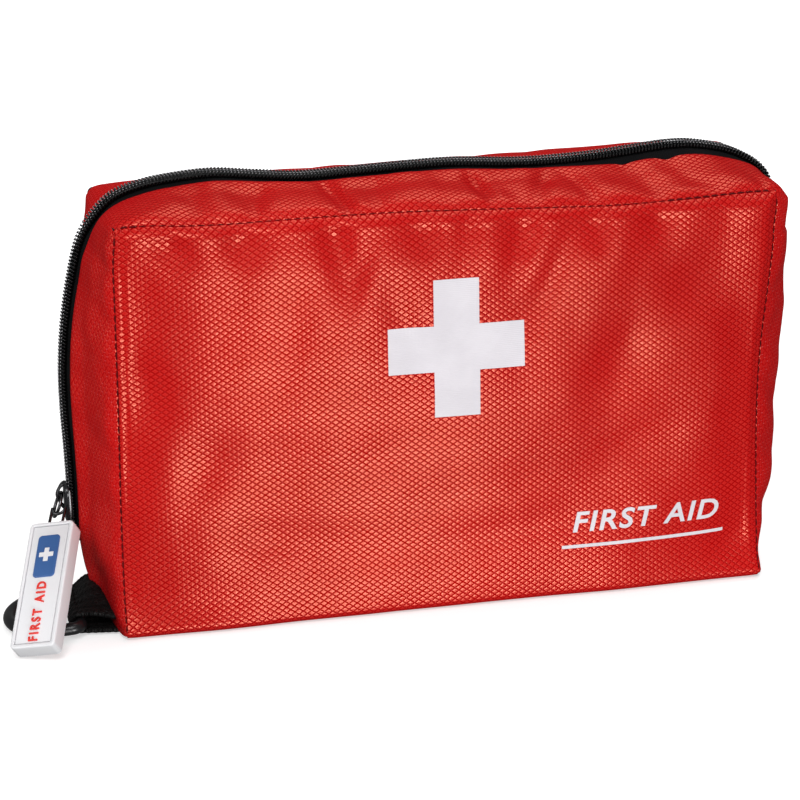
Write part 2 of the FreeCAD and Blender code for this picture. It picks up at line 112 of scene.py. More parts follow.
def resample(curve, n):
    lengths = arc_lengths(curve)
    return at_length(curve, lengths, np.linspace(0, lengths[-1], n))


def spline(points, n):
    """Smooth curve through control points, evenly spaced by length."""
    P = np.array(points, float)
    P = np.vstack([2 * P[0] - P[1], P, 2 * P[-1] - P[-2]])
    spans = []
    for k in range(1, len(P) - 2):
        p0, p1, p2, p3 = P[k - 1:k + 3]
        t = np.linspace(0, 1, 24, endpoint=False)[:, None]
        spans.append(0.5 * (2 * p1 + (p2 - p0) * t + (2 * p0 - 5 * p1 + 4 * p2 - p3) * t ** 2
                            + (-p0 + 3 * p1 - 3 * p2 + p3) * t ** 3))
    return resample(np.vstack(spans + [P[-2][None]]), n)


# ---------------------------------------------------------------- meshes


def add_mesh(name, verts, faces, materials, face_material=None, cloth=None, flat=False):
    """Object from points in mm; cloth holds the fabric coordinates read by the shaders."""
    mesh = bpy.data.meshes.new(name)
    faces = [list(map(int, f)) for f in faces]
    mesh.from_pydata((np.asarray(verts, float) * MM).tolist(), [], faces)
    for material in materials:
        mesh.materials.append(material)
    if face_material is not None:
        mesh.polygons.foreach_set("material_index", np.asarray(face_material, np.int32))
    if not flat:
        mesh.polygons.foreach_set("use_smooth", np.ones(len(mesh.polygons), bool))
    if cloth is not None:
        attribute = mesh.attributes.new("cloth", "FLOAT_VECTOR", "POINT")
        attribute.data.foreach_set("vector", np.asarray(cloth, np.float32).ravel())
    mesh.update()
    ob = bpy.data.objects.new(name, mesh)
    SCENE.collection.objects.link(ob)
    return ob


def tidy(ob, angle=38.0):
    """Turns faces outwards and shades only the edges softer than angle smooth."""
    bm = bmesh.new()
    bm.from_mesh(ob.data)
    bmesh.ops.recalc_face_normals(bm, faces=bm.faces)
    bm.to_mesh(ob.data)
    bm.free()
    ob.data.polygons.foreach_set("use_smooth", np.ones(len(ob.data.polygons), bool))
    ob.data.set_sharp_from_angle(angle=math.radians(angle))
    return ob


def grid_quads(nu, nv, wrap_u=False, wrap_v=False, flip=False, base=0):
    I, J = np.meshgrid(np.arange(nu if wrap_u else nu - 1),
                       np.arange(nv if wrap_v else nv - 1), indexing="ij")
    I2, J2 = (I + 1) % nu, (J + 1) % nv
    quads = np.stack([I * nv + J, I2 * nv + J, I2 * nv + J2, I * nv + J2], -1)
    quads = quads.reshape(-1, 4) + base
    return quads[:, ::-1] if flip else quads


def grid_normals(P):
    return unit(np.cross(np.gradient(P, axis=0), np.gradient(P, axis=1)))


def shell_faces(nu, nv, out_sign=1):
    """Faces of a closed shell of two grids: the outer one, the inner one and the rim."""
    ring = ([(i, 0) for i in range(nu)] + [(nu - 1, j) for j in range(1, nv)]
            + [(i, nv - 1) for i in range(nu - 2, -1, -1)]
            + [(0, j) for j in range(nv - 2, 0, -1)])
    here = np.array([i * nv + j for i, j in ring])
    after = np.roll(here, -1)
    count = nu * nv
    rim = np.stack([here, here + count, after + count, after], 1)
    return (grid_quads(nu, nv, flip=out_sign < 0),
            grid_quads(nu, nv, flip=out_sign > 0, base=count),
            rim[:, ::-1] if out_sign < 0 else rim)


def cloth_shell(name, P, UV, thick, outer, inner=None, out_sign=1, side=None):
    """Cloth with thickness; out_sign 1 means that du x dv points outwards."""
    Q = P - grid_normals(P) * out_sign * thick
    faces = shell_faces(*P.shape[:2], out_sign)
    lined = np.repeat([0, 1, 1], [len(f) for f in faces])
    verts = np.vstack([P.reshape(-1, 3), Q.reshape(-1, 3)])
    cloth = np.zeros((len(verts), 3))
    cloth[:, :2] = np.tile(UV.reshape(-1, 2), (2, 1))
    if side is not None:
        cloth[:, 2] = np.tile(side.ravel(), 2)
    return add_mesh(name, verts, np.vstack(faces), [outer, inner or outer], lined, cloth)


def tube(path, radius, n, normal=(0, 0, 1), flat=(1.0, 1.0)):
    """Capped tube; flat scales the section along the normal and across it."""
    C = np.asarray(path, float)
    T = unit(np.gradient(C, axis=0))
    ref = np.array(normal, float)
    if ref.ndim == 1:
        ref = np.tile(ref, (len(C), 1))
        ref[np.abs((ref * T).sum(1)) > 0.95] = [1, 0, 0]
    A = unit(ref - T * (ref * T).sum(1, keepdims=True))
    B = np.cross(T, A)
    a = np.linspace(0, 2 * np.pi, n, endpoint=False)[None, :, None]
    r = np.broadcast_to(np.asarray(radius, float), (len(C),))[:, None, None]
    V = C[:, None] + r * (np.cos(a) * A[:, None] * flat[0] + np.sin(a) * B[:, None] * flat[1])
    V = V.reshape(-1, 3)
    F = grid_quads(len(C), n, wrap_v=True, flip=True).tolist()
    F.append(list(range(n)))
    F.append(list(range(len(V) - 1, len(V) - n - 1, -1)))
    return V, F


def join_parts(parts):
    V, F, offset = [], [], 0
    for verts, faces in parts:
        V.append(verts)
        F += [[i + offset for i in face] for face in faces]
        offset += len(verts)
    return np.vstack(V), F


def stitches(path, normals, pitch, length, radius, lift, n=6, skip=None):
    """Short raised dashes of thread along a path."""
    lengths = arc_lengths(path)
    parts = []
    start = pitch * 0.5
    hump = np.sin(np.linspace(0, np.pi, 6))
    while start + length < lengths[-1]:
        if skip is None or not skip(start):
            where = np.linspace(start, start + length, 6)
            C = at_length(path, lengths, where)
            N = at_length(normals, lengths, where)
            parts.append(tube(C + N * (lift * hump[:, None]), radius * (0.45 + 0.55 * hump),
                              n, normal=N))
        start += pitch
    return join_parts(parts)


# ---------------------------------------------------------------- shader graph helpers


class Signal:
    """Output of a shader node; arithmetic on it adds Math nodes."""

    def __init__(self, shader, socket):
        self.shader = shader
        self.socket = socket

    def __add__(self, other):
        return self.shader.math("ADD", self, other)

    def __radd__(self, other):
        return self.shader.math("ADD", other, self)

    def __sub__(self, other):
        return self.shader.math("SUBTRACT", self, other)

    def __rsub__(self, other):
        return self.shader.math("SUBTRACT", other, self)

    def __mul__(self, other):
        return self.shader.math("MULTIPLY", self, other)

    def __truediv__(self, other):
        return self.shader.math("DIVIDE", self, other)

    def __abs__(self):
        return self.shader.math("ABSOLUTE", self)

    def fract(self):
        return self.shader.math("FRACT", self)


class Shader:
    """A material with a Principled surface."""

    def __init__(self, name):
        self.material = bpy.data.materials.new(name)
        self.material.use_nodes = True
        self.tree = self.material.node_tree
        self.tree.nodes.clear()
        self.output = self.node("ShaderNodeOutputMaterial")
        self.surface = self.node("ShaderNodeBsdfPrincipled")
        self.link(self.surface, self.output.inputs[0])

    def node(self, kind, **properties):
        node = self.tree.nodes.new(kind)
        for key, value in properties.items():
            setattr(node, key, value)
        return node

    def link(self, node, socket):
        self.tree.links.new(node.outputs[0], socket)

    def put(self, socket, value):
        """Links a signal, or sets a number or an RGB colour."""
        if isinstance(value, Signal):
            self.tree.links.new(value.socket, socket)
        else:
            socket.default_value = (*value, 1.0) if isinstance(value, tuple) else value

    def math(self, operation, *values):
        node = self.node("ShaderNodeMath", operation=operation)
        for socket, value in zip(node.inputs, values):
            self.put(socket, value)
        return Signal(self, node.outputs[0])

    def ramp(self, value, start, end, low=0.0, high=1.0):
        """Smooth step from low to high as the value goes from start to end."""
        node = self.node("ShaderNodeMapRange", interpolation_type="SMOOTHSTEP")
        for i, v in enumerate((value, start, end, low, high)):
            self.put(node.inputs[i], v)
        return Signal(self, node.outputs[0])

    def mix(self, amount, first, second):
        node = self.node("ShaderNodeMix", data_type="RGBA", blend_type="MIX")
        for i, v in ((0, amount), (6, first), (7, second)):
            self.put(node.inputs[i], v)
        return Signal(self, node.outputs[2])

    def object_position(self):
        return Signal(self, self.node("ShaderNodeTexCoord").outputs["Object"])

    def noise(self, scale, detail=3.0, roughness=0.55):
        node = self.node("ShaderNodeTexNoise")
        node.inputs["Scale"].default_value = scale
        node.inputs["Detail"].default_value = detail
        node.inputs["Roughness"].default_value = roughness
        self.put(node.inputs["Vector"], self.object_position())
        return Signal(self, node.outputs["Fac"])

    def bump(self, height, strength, distance, under=None):
        node = self.node("ShaderNodeBump")
        self.put(node.inputs["Height"], height)
        node.inputs["Strength"].default_value = strength
        node.inputs["Distance"].default_value = distance
        if under is not None:
            self.put(node.inputs["Normal"], under)
        return Signal(self, node.outputs[0])

    def wave(self, value, period):
        return self.math("SINE", value * (2 * math.pi / period))

    def split(self, vector):
        node = self.node("ShaderNodeSeparateXYZ")
        self.put(node.inputs[0], vector)
        return [Signal(self, socket) for socket in node.outputs]

    def cloth(self):
        """Fabric coordinates: along, across (mm) and a third value."""
        node = self.node("ShaderNodeAttribute", attribute_name="cloth")
        return self.split(Signal(self, node.outputs["Vector"]))

    def set(self, **values):
        for key, value in values.items():
            self.put(self.surface.inputs[key.replace("_", " ")], value)

    def layer(self, amount, top):
        """Mixes another surface node over the Principled one."""
        node = self.node("ShaderNodeMixShader")
        self.put(node.inputs[0], amount)
        self.link(self.surface, node.inputs[1])
        self.link(top, node.inputs[2])
        self.link(node, self.output.inputs[0])


# ---------------------------------------------------------------- materials


def weave_material():
    """Red polyester: raised glossy diamonds, dark lines between, painted highlight dots at the line
    crossings.
    """
    s = Shader("red_weave")
    # the third cloth value is 1 on the side strips, where the weave is painted as it looks under
    # their light: lines filled in and more painted highlight dots
    along, across, side = s.cloth()
    wobble = (s.noise(scale=38.0, detail=2.0) - 0.5) * 0.35
    column = along / 2.80 + wobble
    row = across / 1.94
    # 0.5 on a line, 0 in the middle of a diamond
    rising = abs((column + row).fract() - 0.5)
    falling = abs((column - row).fract() - 0.5)
    nearest = s.math("MAXIMUM", rising, falling)
    diamond = s.ramp(nearest, start=0.425, end=0.335)
    dome = 1.0 - nearest * 1.7
    thread_rows = s.wave(across, period=0.47)
    thread_columns = s.wave(along, period=0.54)
    # painted highlights: light dots at the line crossings, scattered by noise, stand in for glints
    # on the diamond tops
    painted_glint_dots = s.ramp(rising, start=0.36, end=0.44) * s.ramp(falling, start=0.36, end=0.44)
    painted_glint_dots = painted_glint_dots * s.ramp(s.noise(scale=420.0, detail=1.0), start=0.35, end=0.6)

    patches = s.noise(scale=14.0)
    line_colour = s.mix(s.ramp(patches, start=0.3, end=0.7),
                        (0.33, 0.0008, 0.0012), (0.39, 0.0012, 0.0016))
    diamond_colour = s.mix(s.ramp(patches, start=0.3, end=0.7),
                           (0.52, 0.0040, 0.0055), (0.58, 0.0052, 0.0065))
    # painted light: on the side strips the lines take the diamond colour, as the weave looks away
    # from the highlights
    colour = s.mix(s.math("MAXIMUM", diamond, side * 0.55), line_colour, diamond_colour)
    # painted shade: the middle of each diamond is a little darker, for the look of the domed
    # diamonds under the light
    colour = s.mix(s.ramp(nearest, start=0.16, end=0.04) * 0.25, colour, (0.45, 0.003, 0.003))
    # paints the glint dots in light pink over the weave colour, stronger on the side strips
    colour = s.mix(painted_glint_dots * (0.18 + side * 0.35), colour, (0.85, 0.16, 0.17))

    height = dome * (diamond * 0.7) + diamond * 0.4
    height = height + (thread_rows * diamond) * 0.04
    height = height + thread_columns * 0.015
    normal = s.bump(height, strength=0.5, distance=0.00022)
    normal = s.bump(s.noise(scale=900.0, detail=2.0), strength=0.10, distance=0.0002,
                    under=normal)
    s.set(Base_Color=colour, Normal=normal, Roughness=0.7, Specular_IOR_Level=0.03,
          Sheen_Weight=0.015, Sheen_Roughness=0.5, Sheen_Tint=(1.0, 0.1, 0.2))
    gloss = s.node("ShaderNodeBsdfAnisotropic")
    s.put(gloss.inputs["Color"], (1.0, 0.42, 0.28))
    gloss.inputs["Roughness"].default_value = 0.28
    s.put(gloss.inputs["Normal"], normal)
    # the middle of each diamond is a little duller
    ring = 1.0 - s.ramp(nearest, start=0.22, end=0.05) * 0.30
    s.layer((diamond * ring) * 0.090, gloss)
    return s.material


def fabric(name, dark, light, periods, strength, rough, sheen,
           on_cloth=False, distance=0.00015, specular=0.12):
    """Plain weave; periods are the thread spacings in mm along and across."""
    s = Shader(name)
    if on_cloth:
        along, across, _ = s.cloth()
    else:
        x, y, z = s.split(s.object_position())
        along = (x + y) * 1000.0
        across = z * 1000.0
    threads = s.wave(along, periods[0]) * s.wave(across, periods[1])
    weave = s.ramp(threads, start=-0.7, end=0.7)
    fuzz = s.noise(scale=60.0, detail=4.0)
    colour = s.mix(weave, dark, light)
    colour = s.mix(s.ramp(fuzz, start=0.35, end=0.75, high=0.35), colour,
                   tuple(min(1.0, c * 1.7 + 0.004) for c in light))
    s.set(Base_Color=colour, Normal=s.bump(weave + fuzz * 0.3, strength, distance),
          Roughness=rough, Sheen_Weight=sheen, Sheen_Roughness=0.5, Specular_IOR_Level=specular)
    return s.material


def webbing_material():
    """Black flat webbing: heavy ribs across, fine herringbone."""
    s = Shader("webbing_black")
    along, across, _ = s.cloth()
    zigzag = abs((across / 3.1).fract() - 0.5)
    # weights of the straight advance and of the herringbone slant
    ribs = s.wave(along * 1.0 + zigzag * 3.2, period=1.7)
    warp = s.wave(across, period=0.78)
    weave = s.ramp(ribs * warp, start=-0.6, end=0.6)
    colour = s.mix(weave, (0.0006, 0.0005, 0.0005), (0.0042, 0.0038, 0.0038))
    colour = s.mix(s.ramp(s.noise(scale=90.0), start=0.5, end=0.8, high=0.35),
                   colour, (0.010, 0.009, 0.009))
    s.set(Base_Color=colour, Normal=s.bump(weave + ribs * 0.3, strength=1.0, distance=0.0007),
          Roughness=0.55, Sheen_Weight=0.0, Specular_IOR_Level=0.22)
    return s.material


def moulded(name, colour, rough, specular, grain, strength, distance,
            metal=0.0, coat=0.0, worn_edge=None, drift=0.15):
    """Plastic, rubber or metal: fine grain, soft colour drift, optional worn edges."""
    s = Shader(name)
    fine = s.noise(scale=grain)
    broad = s.noise(scale=35.0)
    base = s.mix(s.ramp(broad, start=0.3, end=0.7), tuple(c * (1 - drift) for c in colour),
                 tuple(min(1, c * (1 + drift * 0.6)) for c in colour))
    if worn_edge is not None:
        geometry = s.node("ShaderNodeNewGeometry")
        raised = s.ramp(Signal(s, geometry.outputs["Pointiness"]), start=0.52, end=0.60)
        base = s.mix(raised * s.ramp(fine, start=0.35, end=0.65), base, worn_edge)
    s.set(Base_Color=base, Specular_IOR_Level=specular, Metallic=metal,
          Roughness=s.ramp(broad, start=0.3, end=0.7, low=rough * 0.88, high=rough * 1.15),
          Coat_Weight=coat, Coat_Roughness=0.2, Normal=s.bump(fine, strength, distance))
    return s.material


def ink_material():
    """White satin ink on the weave."""
    s = Shader("print_white")
    _, across, _ = s.cloth()
    ridges = s.wave(across, period=0.62)
    patches = s.noise(scale=70.0, detail=4.0)
    colour = s.mix(s.ramp(patches, start=0.3, end=0.7),
                   (0.67, 0.635, 0.675), (0.73, 0.695, 0.735))
    colour = s.mix(s.ramp(ridges, start=0.2, end=1.0, high=0.12), colour, (0.61, 0.58, 0.63))
    s.set(Base_Color=colour, Roughness=0.5, Specular_IOR_Level=0.35,
          Normal=s.bump(ridges + patches, strength=0.22, distance=0.00008))
    return s.material


def packet_material(name, base, band, band_range, rough=0.55, metal=0.0, crease=0.5):
    """Sealed packet: printed band, crimped ends, creases. Cloth value 3 is 0..1 up it."""
    s = Shader(name)
    _, _, up = s.cloth()
    fine = s.noise(scale=140.0, detail=5.0, roughness=0.65)
    broad = s.noise(scale=30.0, detail=4.0)
    low, high = band_range
    printed = (s.ramp(up, start=low - 0.004, end=low + 0.004)
               * s.ramp(up, start=high + 0.004, end=high - 0.004))
    colour = s.mix(s.ramp(broad, start=0.3, end=0.7), tuple(c * 0.90 for c in base), base)
    colour = s.mix(printed, colour, band)
    colour = s.mix(s.ramp(fine, start=0.55, end=0.75, high=0.18), colour, (0.35, 0.34, 0.33))
    ends = s.ramp(abs(up - 0.5), start=0.445, end=0.455)
    # crimp ridges: turns per packet height in radians, on an unscaled height
    crimp = ends * s.math("SINE", (up * 1.0) * 520.0)
    height = broad * crease + (fine * (crease * 0.5) + crimp * 0.35)
    s.set(Base_Color=colour, Metallic=metal, Specular_IOR_Level=0.35,
          Roughness=s.ramp(broad, start=0.3, end=0.7, low=rough * 0.85, high=rough * 1.1),
          Normal=s.bump(height, strength=0.6, distance=0.0005))
    return s.material


def net_material():
    """Fine black net with open holes in staggered rows."""
    s = Shader("mesh_pocket")
    along, across, _ = s.cloth()
    column = along / 1.7
    row = across / 1.5
    stagger = s.math("FLOOR", row) * 0.5
    hole_x = (column + stagger).fract() - 0.5
    hole_y = row.fract() - 0.5
    radius = s.math("SQRT", hole_x * hole_x + hole_y * hole_y)
    hole = s.ramp(radius, start=0.36, end=0.30)
    colour = s.mix(s.noise(scale=200.0, detail=2.0),
                   (0.004, 0.004, 0.005), (0.014, 0.014, 0.016))
    s.set(Base_Color=colour, Roughness=0.6, Specular_IOR_Level=0.3,
          Normal=s.bump(hole, strength=-0.6, distance=0.0003), Sheen_Weight=0.05)
    clear = s.node("ShaderNodeBsdfTransparent")
    s.layer(hole * 0.93, clear)
    return s.material


def crepe_material(name, dark, light, pitch=0.9, distance=0.0005):
    """Crinkled ribs and fuzzy threads."""
    s = Shader(name)
    along, across, _ = s.cloth()
    crinkle = s.noise(scale=55.0)
    ribs = s.math("SINE", along * (2 * math.pi / pitch) + crinkle * 9.0)
    weft = s.wave(across, period=pitch * 1.4)
    weave = s.ramp(ribs + weft * 0.7, start=-1.4, end=1.4)
    fuzz = s.noise(scale=320.0)
    colour = s.mix(weave, dark, light)
    colour = s.mix(s.ramp(fuzz, start=0.5, end=0.8, high=0.3), colour,
                   tuple(min(1, c * 1.1) for c in light))
    s.set(Base_Color=colour, Roughness=0.85, Sheen_Weight=0.25, Specular_IOR_Level=0.2,
          Normal=s.bump(weave + fuzz * 0.5, strength=0.8, distance=distance))
    return s.material


RED = weave_material()
LINING = fabric("lining_black", (0.006, 0.006, 0.007), (0.016, 0.016, 0.018),
                periods=(0.55, 0.55), strength=0.35, rough=0.7, sheen=0.08, on_cloth=True)
ZIP_TAPE = fabric("zip_tape", (0.0012, 0.0012, 0.0015), (0.005, 0.005, 0.0055),
                  periods=(0.7, 1.1), strength=0.6, rough=0.85, sheen=0.0, on_cloth=True,
                  specular=0.06)
BINDING = fabric("binding_black", (0.005, 0.005, 0.006), (0.014, 0.014, 0.016),
                 periods=(0.8, 0.8), strength=0.5, rough=0.75, sheen=0.08)
WEBBING = webbing_material()
COIL = moulded("zip_coil", (0.0020, 0.0020, 0.0024), rough=0.30, specular=0.22, grain=900,
               strength=0.12, distance=0.00005)
INK = ink_material()
# seam thread; its near-black red is painted shade that draws the dark groove of the seams
GROOVE_SHADE_THREAD = fabric("stitch_thread_with_groove_shade", (0.045, 0.001, 0.0015), (0.11, 0.002, 0.003),
                    periods=(0.35, 0.35), strength=0.4, rough=0.7, sheen=0.0)
BLACK_THREAD = fabric("thread_black", (0.004, 0.004, 0.005), (0.015, 0.015, 0.016),
                      periods=(0.35, 0.35), strength=0.4, rough=0.6, sheen=0.05)
# thread on the coil, made light grey as painted glints
GLINT_GREY_THREAD = fabric("coil_painted_glint_thread", (0.22, 0.22, 0.23), (0.50, 0.50, 0.52),
                     periods=(0.45, 0.45), strength=0.4, rough=0.5, sheen=0.0, specular=0.3)
SLIDER_METAL = moulded("slider_metal", (0.018, 0.018, 0.020), rough=0.24, specular=0.6,
                       grain=700, strength=0.08, distance=0.00004, metal=0.35, coat=0.3,
                       drift=0.1)
WIRE = moulded("wire_steel", (0.10, 0.10, 0.105), rough=0.28, specular=0.6, grain=900,
               strength=0.12, distance=0.00004, metal=1.0)
RUBBER = dict(specular=0.45, grain=420, strength=0.2, distance=0.00008)
TAG_WHITE = moulded("tag_white", (0.83, 0.83, 0.85), rough=0.42, drift=0.025, **RUBBER)
TAG_BLUE = moulded("tag_blue", (0.042, 0.120, 0.33), rough=0.38, drift=0.08, **RUBBER)
TAG_RED = moulded("tag_red", (0.78, 0.040, 0.028), rough=0.38, drift=0.06, **RUBBER)
RING = moulded("ring_plastic", (0.006, 0.006, 0.007), rough=0.30, specular=0.5, grain=260,
               strength=0.32, distance=0.00012, worn_edge=(0.03, 0.03, 0.033), drift=0.2)
GAUZE = packet_material("gauze_paper", (0.74, 0.75, 0.74), (0.05, 0.30, 0.42),
                        band_range=(0.70, 0.80))
COTTON = packet_material("bandage_packet", (0.72, 0.71, 0.66), (0.10, 0.34, 0.20),
                         band_range=(0.60, 0.66), crease=0.8)
GOLD = packet_material("blanket_foil", (0.80, 0.58, 0.20), (0.80, 0.58, 0.20),
                       band_range=(0.2, 0.21), rough=0.22, metal=1.0, crease=1.4)
GREEN = packet_material("plaster_packet", (0.10, 0.42, 0.20), (0.74, 0.75, 0.72),
                        band_range=(0.30, 0.62), rough=0.4)
SACHET = packet_material("wipe_sachet", (0.70, 0.73, 0.78), (0.07, 0.22, 0.55),
                         band_range=(0.42, 0.50), rough=0.3, metal=0.35, crease=0.7)
GLOVE = packet_material("glove_wrap", (0.34, 0.52, 0.74), (0.62, 0.68, 0.74),
                        band_range=(0.75, 0.86), rough=0.35, crease=0.9)
LEAFLET = packet_material("leaflet_paper", (0.76, 0.76, 0.74), (0.62, 0.05, 0.05),
                          band_range=(0.86, 0.93), rough=0.6, crease=0.2)
NET = net_material()
CREPE = crepe_material("bandage_crepe", (0.50, 0.42, 0.31), (0.72, 0.64, 0.52))
ADHESIVE = crepe_material("tape_cloth", (0.64, 0.62, 0.58), (0.76, 0.75, 0.72),
                          pitch=0.5, distance=0.0002)
ELASTIC = fabric("elastic_black", (0.003, 0.003, 0.004), (0.016, 0.016, 0.018),
                 periods=(0.6, 1.2), strength=0.8, rough=0.7, sheen=0.06, on_cloth=True,
                 distance=0.0003)
STEEL = moulded("instrument_steel", (0.52, 0.53, 0.54), rough=0.22, specular=0.5, grain=800,
                strength=0.12, distance=0.00004, metal=1.0, worn_edge=(0.75, 0.76, 0.77),
                drift=0.06)
SPOOL = moulded("spool_plastic", (0.62, 0.66, 0.70), rough=0.32, specular=0.5, grain=300,
                strength=0.2, distance=0.0001, drift=0.05)

# ---------------------------------------------------------------- seams and zip line

# Stations from the left foot, over the top, to the right foot.
# Columns: front seam x, z; middle of the zip x, z; back seam x, z.
STATIONS = [
    (-111.4, 1.5, -117.4, 1.5, -112.5, 1.5), (-111.3, 9, -119.9, 9, -112.6, 9),
    (-111.2, 16, -122.0, 16, -112.6, 16), (-111.0, 28, -123.4, 28, -112.6, 28),
    (-110.7, 45, -123.5, 45, -112.5, 45), (-110.4, 57, -123.7, 57, -112.4, 57),
    (-110.1, 70, -124.1, 70, -112.3, 70), (-109.8, 84, -123.9, 84, -112.2, 84),
    (-109.6, 98, -122.4, 99, -112.1, 99), (-109.4, 113, -119.6, 114, -112.0, 114),
    (-109.2, 124, -116.2, 126, -111.9, 127), (-107.9, 132.2, -111.6, 133.4, -110.6, 135.2),
    (-104.0, 135.0, -105.8, 138.9, -106.5, 137.8), (-96.0, 135.4, -98.5, 141.9, -98.0, 138.8),
    (-86.0, 134.8, -88.5, 143.8, -88.0, 139.2), (-72.0, 134.6, -74.0, 144.9, -74.0, 139.4),
    (-58.0, 134.9, -59.0, 143.6, -58.0, 139.5), (-43.0, 135.1, -43.4, 142.4, -43.0, 139.7),
    (-19.0, 135.2, -19.1, 143.4, -19.0, 140.2), (5.7, 134.6, 5.7, 144.2, 5.7, 140.8),
    (31.0, 133.8, 31.0, 142.9, 31.0, 141.4), (56.5, 133.2, 56.5, 143.7, 56.5, 142.0),
    (82.3, 134.0, 82.3, 146.2, 82.3, 142.4), (97.0, 134.7, 95.5, 145.4, 97.0, 142.4),
    (105.8, 134.6, 107.3, 142.0, 107.6, 141.2), (111.2, 131.8, 116.0, 136.0, 112.8, 136.6),
    (110.9, 124, 119.6, 126.5, 113.9, 128), (110.6, 113, 121.0, 114, 114.3, 114),
    (109.2, 98, 121.4, 99, 114.2, 99), (107.9, 84, 121.0, 84, 114.0, 84),
    (107.3, 70, 120.4, 70, 113.8, 70), (107.3, 57, 119.8, 57, 113.7, 57),
    (107.6, 45, 119.2, 45, 113.6, 45), (108.1, 28, 117.4, 28, 113.0, 28),
    (108.2, 16, 114.6, 16, 112.0, 16), (107.8, 9, 112.4, 9, 111.0, 9),
    (107.4, 1.5, 110.6, 1.5, 110.0, 1.5),
]
SAMPLES = 620
seam_lines = spline(STATIONS, SAMPLES)
ZIP_XZ = seam_lines[:, 2:4]
ZIP_X, ZIP_Z = ZIP_XZ.T
ZIP_LENGTHS = arc_lengths(ZIP_XZ)
direction = unit(np.gradient(ZIP_XZ, axis=0))
flat_zero = np.zeros(SAMPLES)
ZIP_OUT = np.stack([-direction[:, 1], flat_zero, direction[:, 0]], 1)
ZIP_LINE = np.stack([ZIP_X, flat_zero, ZIP_Z], 1)

# The two halves. seam_y and zip_y are distances of the gusset's edges from y = 0;
# mid_height is a first guess of the panel's height; ripple and softness scale the gusset's folds.
FRONT = SimpleNamespace(
    name="front", sign=-1, body="bend", seam=seam_lines[:, 0:2], columns=236, rows=150,
    mid_height=135.0, corner=0.7, seam_y=27.3, zip_y=4.7, ripple=1.0, softness=1.0, seed=31)
BACK = SimpleNamespace(
    name="rear", sign=1, body="root", seam=seam_lines[:, 4:6], columns=200, rows=120,
    mid_height=140.0, corner=2.0, seam_y=27.4, zip_y=5.0, ripple=0.45, softness=0.5, seed=41)
HALVES = (FRONT, BACK)


def seam_x(half, z, side):
    """x of the seam at height z, on the left (-1) or the right (1)."""
    middle = len(half.seam) // 2
    part = half.seam[:middle] if side < 0 else half.seam[middle:][::-1]
    part = part[part[:, 1] < 131.0]
    part = part[np.argsort(part[:, 1])]
    return np.interp(z, part[:, 1], part[:, 0])


def seam_top(half, x):
    part = half.seam[(half.seam[:, 1] > 120) & (np.abs(half.seam[:, 0]) < 103)]
    part = part[np.argsort(part[:, 0])]
    return np.interp(x, part[:, 0], part[:, 1])


# ---------------------------------------------------------------- front and back cloth

BASE_RADIUS = 3.0       # rounded bottom edge
BASE_COLUMNS = 34
ARC_COLUMNS = 9

# Soft dents of the front: x, z, half width, half height, angle in degrees, depth inwards.
DENTS = [
    (-38, 126, 4.5, 13, 8, 1.9), (-31, 118, 4, 10, -20, 0.9), (-9, 129, 5, 9, -10, 1.0),
    (24, 128, 4, 12, -18, 1.3), (33, 113, 5, 15, -25, 1.1), (48, 128, 4, 10, 10, 0.9),
    (70, 128, 5, 8, 15, 0.8), (-70, 129, 5, 7, 0, 0.8), (-92, 128, 8, 5, -30, 1.1),
    (84, 108, 16, 18, -30, 1.3), (100, 92, 8, 22, 10, 0.4), (-101, 84, 6, 12, 15, 1.3),
    (-101, 118, 6, 20, 0, 0.7), (-27, 55, 22, 9, 20, 1.0), (57, 81, 9, 16, -30, 1.1),
    (60, 50, 16, 8, 25, 0.8), (-60, 30, 26, 7, -8, 0.9), (20, 26, 30, 6, 5, 0.8),
    (98, 50, 8, 16, -12, 0.3), (-84, 54, 8, 16, -22, 1.1), (97, 14, 9, 8, 30, 1.3),
    (-16, 98, 5, 12, 24, 0.8), (-55, 98, 7, 18, -14, 0.7),
]


def dent_depth(x, z):
    depth = np.zeros_like(x)
    for centre_x, centre_z, width, height, angle, deep in DENTS:
        c, s = math.cos(math.radians(angle)), math.sin(math.radians(angle))
        dx, dz = x - centre_x, z - centre_z
        p, q = (dx * c + dz * s) / width, (-dx * s + dz * c) / height
        depth += deep * np.exp(-(p * p + q * q) * 0.9)
    return depth


def front_offset(x, z, left, right, top):
    """How far the front stands forward; left, right and top are distances to the seams."""
    flank = np.clip(np.abs(x) / 110.0, 0, 1) ** 2.6
    nearest_side = np.minimum(left, right)
    nearest = np.minimum(nearest_side, top)
    foot = np.exp(-(z - 3.0) / 9.0)
    sides = (2.3 * np.exp(-left / 8.0) * smooth(0, 3, left)
             + 0.9 * np.exp(-right / 6.0) * smooth(0, 2, right))
    crown = (1 - flank) * np.interp(z, [0, 8, 40, 90, 125, 137], [4.6, 4.6, 3.3, 2.6, 1.6, 0.6])
    crown = crown * (smooth(-2, 18, nearest) * (1 - foot) + foot)
    top_pleats = pleats(x + 9 * value_noise(x, z, 34, 3), pitch=23.0, power=1.5)
    top_pleats = (top_pleats - 0.45) * 1.15 * np.exp(-top / 15.0) * smooth(0, 3, top)
    side_pleats = (pleats(z + 7 * value_noise(z, x, 22, 5), pitch=15.0) - 0.6) * 0.6
    side_pleats = (side_pleats * (0.5 * np.exp(-left / 7.0) + 0.4 * np.exp(-right / 9.0))
                   * smooth(0, 3, nearest_side))
    soft = (0.70 * value_noise(x + 0.4 * z, z - 0.3 * x, 34, 11)
            + 0.20 * value_noise(x, z, 15, 12) + 0.035 * value_noise(x, z, 6, 13))
    roll = 2.7 * np.clip(1 - nearest / 4.2, 0, 1) ** 2
    return (crown + 4.6 * flank * foot + (soft - dent_depth(x, z)) * smooth(0, 6, nearest)
            + top_pleats + side_pleats - (roll + sides) * (1 - foot))


